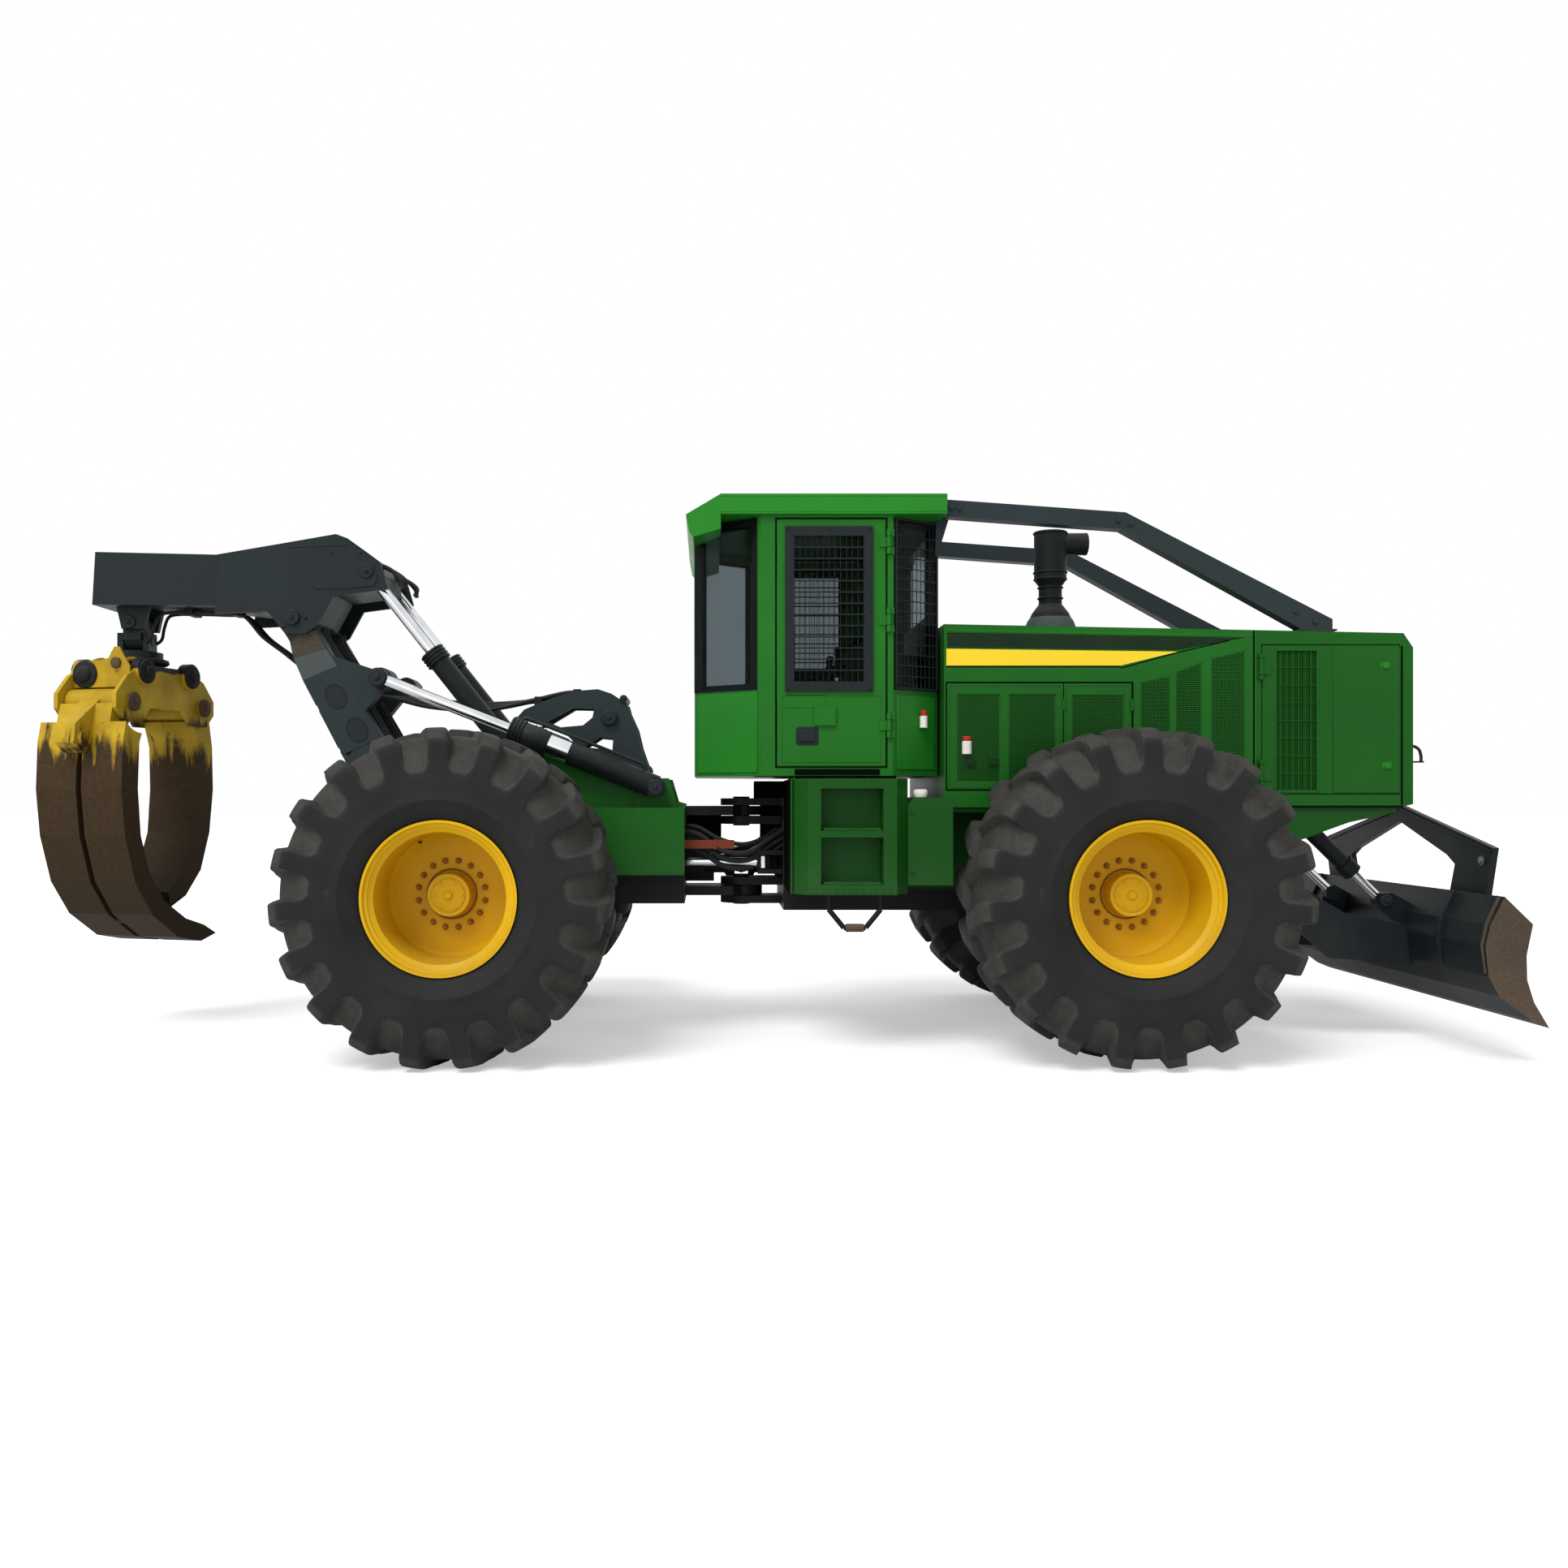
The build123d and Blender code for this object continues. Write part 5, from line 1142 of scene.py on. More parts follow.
def wall_box(bm, wall, along, out, z, sign):
    """A flat box on a slanting cab wall between two values along it, outwards and upwards."""
    corners = ((along[0], out[0]), (along[1], out[0]), (along[1], out[1]), (along[0], out[1]))
    lofted(bm, *[[wall_point(wall, a, o, height, sign) for a, o in corners] for height in z])


def inset(opening, by):
    """Two places and two heights, moved in by a distance."""
    return (opening[0] + by, opening[1] - by, opening[2] + by, opening[3] - by)


def wall_frame(bm, wall, outer, inner, level, out, sign):
    """Four boxes round a window in a slanting wall; outer and inner are two places and two heights each."""
    for along, z in (((outer[0], inner[0]), outer[2:]), ((inner[1], outer[1]), outer[2:]),
                     (level, (outer[2], inner[2])), (level, (inner[3], outer[3]))):
        wall_box(bm, wall, along, out, z, sign)


class SKIDDER_OT_cab(bpy.types.Operator):
    """Seals, window guards, panels and small fittings of the cab, and its doors' wires and latches."""

    bl_idname = "skidder.cab"
    bl_label = "Cab"

    def execute(self, context):
        pitch = context.scene.skidder_sizes.wire_pitch
        seals, guard, panels, dark, panes, canister, cap, roof = meshes(8)
        for sign in (1, -1):
            for wall, margin, pane_start, pane_short in QUARTER_WINDOWS:
                length = math.dist(*wall)
                first, last = margin, length - margin
                opening = (first, last, WINDOW_LOW, WINDOW_HIGH)
                rubber = inset(opening, SEAL_WIDTH)
                wall_frame(seals, wall, opening, rubber, (first, last), (-0.030, 0.004), sign)
                # The tinted pane stands over the wall's edges, with a black border printed behind it
                pane = (pane_start, length - pane_short, PANE_LOW, PANE_HIGH)
                wall_frame(seals, wall, pane, opening, (first, last), (0.0, 0.003), sign)
                wall_box(panes, wall, pane[:2], (0.004, 0.009), pane[2:], sign)
            # The wire guard over the front quarter window
            first, last = 0.012, math.dist(*NOSE_WALL) - 0.012
            outer = (first, last, GUARD_LOW, GUARD_HIGH)
            wall_frame(guard, NOSE_WALL, outer, inset(outer, GUARD_EDGE), (first, last), (0.010, 0.020), sign)
            span = GUARD_WIRES_HIGH - GUARD_WIRES_LOW
            count = round(span / pitch)
            for index in range(1, count):
                z = GUARD_WIRES_LOW + span * index / count
                rod(guard, wall_point(NOSE_WALL, first + 0.004, 0.016, z, sign),
                    wall_point(NOSE_WALL, last - 0.004, 0.016, z, sign), 0.0035, 6)
            for index in range(1, 10):
                along = first + (last - first) * index / 10
                rod(guard, wall_point(NOSE_WALL, along, 0.0115, 2.22, sign),
                    wall_point(NOSE_WALL, along, 0.0115, 3.265, sign), 0.0022, 6)
            for wall, low, high in LOWER_PANELS:
                wall_box(panels, wall, (0.03, math.dist(*wall) - 0.03), (0.0, 0.006), (low, high), sign)
            face = outward(sign, CAB_Y, CAB_Y + 0.002)
            slab(dark, (2.054, 2.579), face, (1.684, 1.722))
            band(dark, rectangle(1.937, 2.623, 1.731, 3.268), 0.006, *face)
        place = wall_point(NOSE_WALL, 0.235, 0.03, 1.98, -1)
        lid, top = place + Vector((0, 0, 0.075)), place + Vector((0, 0, 0.11))
        rod(canister, place, lid, 0.024, 20)
        rod(cap, lid, top, 0.02, 20)
        pieces("front_frame",
               ("window_seals", seals, "seal", 0.002),
               ("quarter_panes", panes, "quarter_glass", 0.0, "window_glass"),
               ("quarter_guards", guard, "screen", 0.0),
               # The lower panels take the lighter panel green as painted light.
               ("cab_lower_panels", panels, "panel", 0.004, "green_paint"),
               ("cab_gaps", dark, "gap", 0.0),
               ("canister", canister, "pale", 0.004),
               ("canister_cap", cap, "cap_red", 0.004))
        slab(roof, (1.594, 2.990), (-ROOF_HALF, ROOF_HALF), (3.287, 3.413))
        side_outline(roof, VISOR, -ROOF_HALF, ROOF_HALF)
        for z in (3.300, 3.395):
            slab(roof, (1.594, 2.992), (-ROOF_HALF - 0.003, ROOF_HALF + 0.003), (z, z + 0.007))
        # The roof takes the lighter roof green as painted light.
        made = piece("roof_with_visor", roof, "roof", "front_frame", 0.006, "green_paint")
        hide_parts("cab_roof")
        for side, sign in SIDES:
            wires, seal, plates, latch = meshes(4)
            window = rectangle(2.050, 2.480, 2.262, 3.153)[:4]
            strands(wires, window, sign * (CAB_Y + 0.004), pitch * 0.55, 0.0035, level=False)
            pierced(seal, (2.031, 2.499, 2.236, 3.179), [(2.052, 2.478, 2.257, 3.158)],
                    *outward(sign, CAB_Y - 0.037, CAB_Y - 0.004))
            skin = outward(sign, CAB_Y, CAB_Y + 0.003)
            round_plate(plates, (1.992, 2.244), (2.098, 2.196), *skin)
            band(plates, rectangle(1.975, 2.585, 1.765, 2.175), 0.006, *skin)
            round_plate(latch, (2.062, 2.200), (1.870, 1.982), *outward(sign, CAB_Y, CAB_Y + 0.006), 0.016)
            round_plate(latch, (2.080, 2.182), (1.892, 1.960), *outward(sign, CAB_Y + 0.006, CAB_Y + 0.018))
            for x, z in DOOR_BOLTS:
                bolt_head(wires, at(x, sign * (CAB_Y + 0.020), z), (0, sign, 0), 0.008, 0.007)
            pieces(f"cab_door_{side}",
                   (f"door_wires_{side}", wires, "screen", 0.0),
                   (f"door_seal_{side}", seal, "seal", 0.002),
                   (f"door_plates_{side}", plates, "cab", 0.001, "green_paint"),
                   (f"door_latch_{side}", latch, "charcoal", 0.002))
        return {"FINISHED"}


SEAT_CUSHIONS = (
    # lowest and highest x, half the width, lowest and highest z: seat, back and headrest
    ((2.000, 2.438), 0.232, (2.142, 2.200)),
    ((2.012, 2.070), 0.215, (2.230, 2.720)),
    ((1.925, 1.990), 0.125, (2.775, 2.905)),
)
HANDLE = [(0, 0.030), (0.12, 0.014), (0.45, 0.012), (0.55, 0.022), (0.9, 0.026), (1, 0.018)]
STEERING_WHEEL_RADIUS = 0.190


class SKIDDER_OT_controls(bpy.types.Operator):
    """Cushions, armrests, levers, steering wheel and screen inside the cab."""

    bl_idname = "skidder.controls"
    bl_label = "Seat and controls"

    def execute(self, context):
        cushions, arms, levers, wheel = meshes(4)
        for x, half, z in SEAT_CUSHIONS:
            slab(cushions, x, (-half, half), z)
        for sign in (1, -1):
            slab(cushions, (2.070, 2.095), outward(sign, 0.150, 0.212), (2.250, 2.690))
            slab(arms, (2.040, 2.400), outward(sign, 0.275, 0.355), (2.330, 2.385))
            slab(arms, (2.060, 2.120), outward(sign, 0.245, 0.300), (2.130, 2.345))
            slab(levers, (2.290, 2.420), outward(sign, 0.285, 0.345), (2.386, 2.405))
            turned(levers, at(2.360, sign * 0.315, 2.400), at(2.372, sign * 0.315, 2.530), HANDLE, 20)
        turned(levers, at(2.700, 0, 2.475), at(2.590, 0, 2.630), [(0, 0.040), (0.2, 0.026), (1, 0.022)], 20)
        tilt = Vector((-0.110, 0, 0.155)).normalized()
        across = Vector((0, 1, 0))
        up = tilt.cross(across)
        hub = at(2.583, 0.0, 2.640)
        ring = [hub + across * a + up * b for a, b in circle(40, STEERING_WHEEL_RADIUS)]
        tube(wheel, ring, 0.013, 10, closed=True)
        turned(wheel, hub - tilt * 0.012, hub + tilt * 0.018, [(0, 0.045), (0.7, 0.045), (1, 0.030)])
        for spoke in (0, 13, 27):
            rod(wheel, hub, ring[spoke], 0.009, 8)
        slab(levers, (2.760, 2.800), (0.290, 0.520), (2.560, 2.730))
        rod(levers, at(2.800, 0.405, 2.300), at(2.790, 0.405, 2.580), 0.014, 12)
        pieces("front_frame",
               ("seat_cushions", cushions, "fabric", 0.018),
               ("armrests", arms, "trim", 0.010),
               ("levers_and_screen", levers, "hose", 0.003),
               ("steering_wheel", wheel, "hose", 0.0))
        return {"FINISHED"}


STEP_OPENINGS = ((1.350, 1.600), (1.030, 1.310))
TREAD_BARS, TREAD_PITCH = 8, 0.046
DIMPLES, DIMPLE_PITCH = 14, 0.040


class SKIDDER_OT_steps(bpy.types.Operator):
    """Treads, recess walls, dimples, pads, trims, liners and tank caps of the step boxes and the hanging
    steps.
    """

    bl_idname = "skidder.steps"
    bl_label = "Steps"

    def execute(self, context):
        treads, walls, dimples, pads, caps, trims, liners = meshes(7)
        for sign in (1, -1):
            for low, high in STEP_OPENINGS:
                slab(walls, (2.193, 2.557), outward(sign, 1.0105, 1.014), (low + 0.003, high - 0.003))
                for index in range(TREAD_BARS):
                    x = 2.215 + index * TREAD_PITCH
                    slab(treads, (x, x + 0.012), outward(sign, 1.02, 1.165), (low + 0.001, low + 0.010))
                slab(treads, (2.205, 2.545), outward(sign, 1.150, 1.168), (low + 0.001, low + 0.016))
            for z in (0.985, 1.007):
                for index in range(DIMPLES):
                    place = at(2.12 + index * DIMPLE_PITCH, sign * 1.170, z)
                    turned(dimples, place, place + Vector((0, sign * 0.004, 0)), [(0, 0.007), (1, 0.004)], 10)
            for x in (2.020, 2.655):
                rod(trims, at(x, sign * 1.090, 1.66), at(x, sign * 1.090, 0.97), 0.007, 8)
            for z in (1.10, 1.46):
                bolt_head(trims, at(2.74, sign * 1.090, z), (0, sign, 0), 0.012, 0.010)
            turned(pads, at(2.340, sign * 1.110, 0.770), at(2.450, sign * 1.110, 0.770),
                   [(0, 0.021), (0.05, 0.025), (0.95, 0.025), (1, 0.021)], 18)
            turned(caps, at(2.80, sign * 1.02, 1.547), at(2.80, sign * 1.02, 1.597),
                   [(0, 0.036), (0.5, 0.045), (0.85, 0.042), (1, 0.03)])
            slab(liners, (2.010, 2.029), outward(sign, 0.432, 1.075), (0.975, 1.655))
        pieces("front_frame",
               ("step_box_liners", liners, "gap", 0.0),
               # The treads, walls, dimples and trims take the darker frame green as painted shade.
               ("step_treads", treads, "frame_green", 0.001),
               ("step_walls", walls, "frame_green", 0.0),
               ("step_dimples", dimples, "frame_green", 0.0),
               ("step_pads", pads, "brown", 0.0),
               ("tank_caps", caps, "pale", 0.002),
               ("step_trims", trims, "frame_green", 0.0))
        return {"FINISHED"}


BAR_BOLTS = ((3.035, 3.350), (3.085, 3.345), (4.075, 3.272), (4.150, 3.250), (5.18, 2.705), (5.30, 2.64))
STACK_RINGS = ((2.86, 0.079), (2.93, 0.079), (2.985, 0.104), (3.29, 0.107), (3.03, 0.107))
STACK_MOUTH = [(0, 0.0725), (0.8, 0.0725), (0.97, 0.0745), (1, 0.072), (1, 0.066), (0.6, 0.064)]
STACK_DOME = [(0, 0.164), (0.30, 0.164), (0.42, 0.158), (0.55, 0.147), (0.68, 0.128), (0.80, 0.107),
              (0.90, 0.090), (1, 0.078)]


class SKIDDER_OT_guards(bpy.types.Operator):
    """Bolts and brackets of the guard bars, and the rings, dome and mouth of the exhaust."""

    bl_idname = "skidder.guards"
    bl_label = "Guard bars and exhaust"

    def execute(self, context):
        bolts, brackets, rings, mouth, dome = meshes(5)
        for sign in (1, -1):
            for x, z in BAR_BOLTS:
                bolt_head(bolts, at(x, sign * 0.7375, z), (0, sign, 0), 0.014, 0.012)
            slab(brackets, (2.945, 3.010), outward(sign, 0.628, 0.742), (3.290, 3.410))
            side_outline(brackets, [(2.95, 3.29), (3.03, 3.29), (2.96, 3.06), (2.945, 3.06)],
                         *outward(sign, 0.655, 0.675))
            slab(brackets, (5.20, 5.44), outward(sign, 0.60, 0.738), (2.585, 2.597))
            for x in (5.225, 5.415):
                bolt_head(bolts, at(x, sign * 0.618, 2.597), (0, 0, 1), 0.013, 0.012)
        stack = at(3.783, -0.200, 0)
        for z, radius in STACK_RINGS:
            tube(rings, [stack + Vector((a, b, z)) for a, b in circle(40, radius)], 0.006, 8, closed=True)
        for a, b in circle(8, 0.145):
            bolt_head(bolts, stack + Vector((a, b, 2.664)), (0, 0, 1), 0.009, 0.008)
        turned(mouth, at(3.90, -0.200, 3.220), at(4.022, -0.200, 3.220), STACK_MOUTH, 40)
        turned(dome, stack + Vector((0, 0, 2.606)), stack + Vector((0, 0, 2.800)), STACK_DOME, 48)
        pieces("front_frame",
               ("guard_bolts", bolts, "bar", 0.0),
               ("exhaust_dome", dome, "dome", 0.0),
               ("guard_brackets", brackets, "bar", 0.003),
               ("exhaust_rings", rings, "stack", 0.0),
               ("exhaust_mouth", mouth, "stack", 0.0))
        return {"FINISHED"}


PIN_HEADS = (
    # body, x, distance from the middle, z, radius, thickness
    ("arch", -1.170, 0.413, 2.710, 0.052, 0.016),
    ("arch", -0.430, 0.455, 1.300, 0.060, 0.016),
    ("boom", -0.690, 0.405, 3.010, 0.050, 0.016),
    ("boom", -2.335, 0.136, 2.715, 0.045, 0.012),
    ("rear_frame", 0.440, 0.430, 1.580, 0.048, 0.016),
    ("rear_frame", 0.865, 0.185, 2.075, 0.050, 0.016),
    ("rear_frame", 0.960, 0.170, 2.200, 0.026, 0.010),
    ("front_frame", 5.150, 0.540, 0.950, 0.052, 0.016),
    ("front_frame", 5.400, 0.452, 1.360, 0.036, 0.016),
    ("boom_cylinder_rods", -0.690, 0.353, 3.010, 0.055, 0.008),
    ("arch_cylinder_rods", -0.580, 0.563, 2.310, 0.058, 0.016),
    ("arch_cylinder_barrels", 1.187, 0.585, 1.612, 0.050, 0.016),
    ("blade", 5.890, 0.432, 0.880, 0.040, 0.016),
)
BOOM_BOLTS = (
    # x, z, radius, height: the lock plate by the arch pins, then the plate by the rods' eyes
    (-1.085, 2.710, 0.011, 0.010),
    (-1.230, 2.650, 0.011, 0.010),
    (-0.920, 3.130, 0.010, 0.009),
    (-0.830, 3.160, 0.010, 0.009),
    (-0.730, 3.130, 0.010, 0.009),
)
ARCH_SKIN = [(-1.186, 2.548), (-1.167, 2.457), (-1.136, 2.378), (-1.103, 2.304), (-0.849, 1.822),
             (-0.600, 1.936), (-0.700, 2.100), (-0.795, 2.246), (-0.891, 2.409), (-1.022, 2.630),
             (-1.100, 2.650)]
ARCH_WORN_BAND = [(-1.183, 2.545), (-1.167, 2.450), (-0.957, 2.513), (-1.022, 2.622), (-1.110, 2.640)]
ARCH_PALE_BAND = [(-1.166, 2.448), (-1.136, 2.380), (-1.106, 2.305), (-0.885, 2.400), (-0.956, 2.511)]
ARCH_LEG_ROUTE = ((-1.01, 2.66), (-0.99, 2.58), (-0.87, 2.40), (-0.74, 2.19), (-0.60, 1.95), (-0.56, 1.86))
ARCH_SKIN_OUT = 0.3775
ARCH_DENTS = ((-0.893, 2.200), (-0.756, 1.984))
DENT_SIZE, DENT_TURN = (0.064, 0.082), (0.88, 0.48)
BOOM_DOUBLER = [(-0.815, 3.172), (-0.917, 3.113), (-1.013, 3.041), (-1.045, 3.005), (-1.056, 2.960),
                (-1.048, 2.918), (-1.013, 2.893), (-0.800, 2.897), (-0.640, 2.912), (-0.615, 2.960),
                (-0.640, 3.050)]
CYLINDERS = (
    # name, the base and the eye as x and z, distance from the middle, the barrel's length, its gland's radius
    ("boom_cylinder", (0.440, 1.580), (-0.690, 3.010), 0.315, 1.170, 0.079),
    ("arch_cylinder", (1.187, 1.612), (-0.580, 2.310), 0.525, 1.000, 0.086),
)
SLEEVE = [(0, 0.073), (0, 0.0765), (1, 0.0765), (1, 0.073)]
SLEEVE_COVER = [(0, 0.073), (0, 0.080), (0.05, 0.084), (0.95, 0.084), (1, 0.080), (1, 0.073)]


class SKIDDER_OT_linkage(bpy.types.Operator):
    """Pin heads, bolts, bands, dents, hoses, glands and hose clamps of the tower, arch, boom and cylinders.
    """

    bl_idname = "skidder.linkage"
    bl_label = "Linkage fittings"

    def execute(self, context):
        heads = {row[0]: bmesh.new() for row in PIN_HEADS}
        for sign in (1, -1):
            for body, x, y, z, radius, thickness in PIN_HEADS:
                pin_head(heads[body], x, sign * y, z, radius, sign, thickness)
            for x, z, radius, height in BOOM_BOLTS:
                bolt_head(heads["boom"], at(x, sign * 0.405, z), (0, sign, 0), radius, height)
            # A doubler plate on each boom cheek, with its edge weld
            side_outline(heads["boom"], BOOM_DOUBLER, *outward(sign, 0.404, 0.411))
            band(heads["boom"], [(-1.20, 3.166), (-0.815, 3.182)], 0.012, *outward(sign, 0.404, 0.409))
        for body, bm in heads.items():
            piece(f"{body}_pin_heads", bm, "charcoal", body, 0.002)
        skin, brown, pale, dents, rings, hoses, loops, blocks = meshes(8)
        for sign in (1, -1):
            film = outward(sign, ARCH_SKIN_OUT, ARCH_SKIN_OUT + 0.001)
            side_outline(skin, ARCH_SKIN, *outward(sign, ARCH_SKIN_OUT - 0.003, ARCH_SKIN_OUT))
            side_outline(brown, ARCH_WORN_BAND, *film)
            side_outline(pale, ARCH_PALE_BAND, *film)
            for x, z in ARCH_DENTS:
                oval = []
                for a, b in circle(24, 1.0):
                    across, up = DENT_SIZE[0] * a, DENT_SIZE[1] * b
                    oval.append((x + across * DENT_TURN[0] - up * DENT_TURN[1],
                                 z + across * DENT_TURN[1] + up * DENT_TURN[0]))
                side_outline(dents, oval, *film)
                # Painted shade: a dark iron ring round the rim of each dent.
                band(rings, oval + oval[:1], 0.008, *outward(sign, ARCH_SKIN_OUT, ARCH_SKIN_OUT + 0.0023))
            for index in range(3):
                y = sign * (0.245 - 0.036 * index)
                shift = 0.012 * (index % 2)
                tube(hoses, smooth_path([at(x + shift, y, z) for x, z in ARCH_LEG_ROUTE], 6), 0.015)
        pieces("arch",
               ("arch_skins", skin, "bar", 0.001),
               ("arch_worn_bands", brown, "worn_band", 0.0),
               ("arch_pale_bands", pale, "bundle", 0.0),
               ("arch_dents", dents, "charcoal", 0.0),
               ("arch_dent_rings", rings, "iron", 0.0),
               ("arch_leg_hoses", hoses, "hose", 0.0))
        for name, base, eye, y, mouth, radius in CYLINDERS:
            glands, sleeves = meshes(2)
            inside, outside = radius - 0.004, radius + 0.006
            gland = [(0, inside), (0, radius), (0.3, outside), (0.7, outside), (1, radius), (1, inside)]
            sleeved = name == "arch_cylinder"
            for sign in (1, -1):
                start, end = at(base[0], sign * y, base[1]), at(eye[0], sign * y, eye[1])
                along = (end - start).normalized()
                for back in (0.010, 0.034, 0.058, 0.082):
                    here = start + along * (mouth - back)
                    turned(glands, here - along * 0.007, here + along * 0.007, gland, 32, hollow=True)
                if sleeved:
                    first, middle, last = [start + along * share for share in (0.595, 0.735, 0.915)]
                    turned(sleeves, first, middle, SLEEVE, 32, hollow=True)
                    turned(glands, middle, last, SLEEVE_COVER, 32, hollow=True)
            piece(f"{name}_glands", glands, "barrel", f"{name}_barrels")
            if sleeved:
                piece(f"{name}_sleeves", sleeves, "chrome", f"{name}_barrels")
        for sign in (1, -1):
            for index in range(3):
                y = sign * (0.255 - 0.034 * index)
                line = [at(-0.86, y, 3.00), at(-0.76, y, 3.045 - 0.01 * index), at(-0.66, y, 3.075),
                        at(-0.57, y, 3.045), at(-0.51 + 0.012 * index, y, 2.985), at(-0.50, y, 2.93)]
                tube(loops, smooth_path(line, 6), 0.014)
        piece("boom_eye_hoses", loops, "hose", "boom")
        for x, z in ((0.62, 2.215), (0.36, 2.165)):
            slab(blocks, (x, x + 0.05), (-0.105, 0.105), (z - 0.02, z + 0.055))
        slab(blocks, (0.80, 1.05), (-0.10, 0.10), (1.600, 1.72))
        piece("tower_hose_clamps", blocks, "iron", "rear_frame", 0.003)
        return {"FINISHED"}


# Hose routes: x, the share of the hose's own y, z, and the share of its own lift
TOWER_ROUTE = ((0.98, 1, 1.70, 0), (0.93, 1, 1.95, 0), (0.84, 1, 2.16, 0), (0.64, 1, 2.25, 0),
               (0.36, 1, 2.20, 0), (0.02, 1.1, 2.13, 1), (-0.34, 1.3, 2.15, 1), (-0.66, 1.4, 2.22, 0),
               (-0.86, 1.4, 2.165, 0))
BOOM_ROUTE = ((-0.93, 1, 2.10, 0), (-1.02, 1, 2.20, 0), (-1.14, 1.3, 2.36, 0), (-1.30, 1.4, 2.50, 0),
              (-1.46, 1.3, 2.62, 0), (-1.60, 1, 2.765, 0), (-1.78, 1, 2.785, 0), (-2.05, 0.9, 2.79, 0))
CROSSHEAD_ROUTE = ((-2.03, 1, 2.79, 0), (-2.14, 1.4, 2.775, 0), (-2.185, 1.9, 2.70, 0),
                   (-2.205, 2.0, 2.62, 0), (-2.245, 1.4, 2.585, 0), (-2.285, 1, 2.605, 0))
HINGE_ROUTE = ((1.36, 1, 1.36, 0), (1.46, 1.05, 1.345, 0), (1.60, 1.25, 1.27, 0), (1.75, 1.3, 1.235, 0),
               (1.88, 1.2, 1.27, 0), (1.97, 1, 1.33, 0), (2.012, 1, 1.34, 0))
SIDE_HINGE_ROUTE = ((1.36, 1, 1.33, 1), (1.47, 1.04, 1.30, 1), (1.62, 1.08, 1.20, 1), (1.78, 1.06, 1.19, 1),
                    (1.91, 1, 1.27, 1), (2.012, 1, 1.34, 1))
# A pipe's places on its cylinder: metres from the base along it, and metres below its middle
PIPE_ROUTE = ((0.10, 0.075), (0.13, 0.105), (0.20, 0.108), (0.45, 0.108), (0.86, 0.108), (0.93, 0.104),
              (0.955, 0.075))
SHAFT_Z = 1.10
SHAFT_PROFILE = [(0, 0.095), (0.12, 0.095), (0.14, 0.062), (0.80, 0.062), (0.84, 0.082), (1, 0.082)]
HINGE_WEB = [(1.368, 1.05), (1.48, 1.05), (1.53, 1.12), (1.53, 1.28), (1.48, 1.335), (1.368, 1.335)]
HINGE_BLEND = (("rear_frame", 1.42, 1.3), ("front_frame", 1.95, 1.3))


def fitting(bm, place, direction, radius):
    """A crimped hose end with its hexagon."""
    place, direction = Vector(place), Vector(direction).normalized()
    crimp = [(0, radius * 1.25), (0.8, radius * 1.25), (1, radius * 1.05)]
    turned(bm, place, place + direction * 0.055, crimp, 12)
    turned(bm, place - direction * 0.025, place, [(0, radius * 1.5), (1, radius * 1.5)], 6)


def crossing_hose(name, route, y, lift, radius, start, end):
    """One hose across a joint, on no body; start and end are a body, x and z, and are not used."""
    bm = bmesh.new()
    tube(bm, smooth_path([at(x, y * share, z + lift * lifted) for x, share, z, lifted in route], 7), radius)
    if route is TOWER_ROUTE:
        fitting(bm, at(-0.88, y * 1.4, 2.12), (0, 0, 1), radius)
    made = piece(name, bm, "hose", None)
    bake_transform(made)


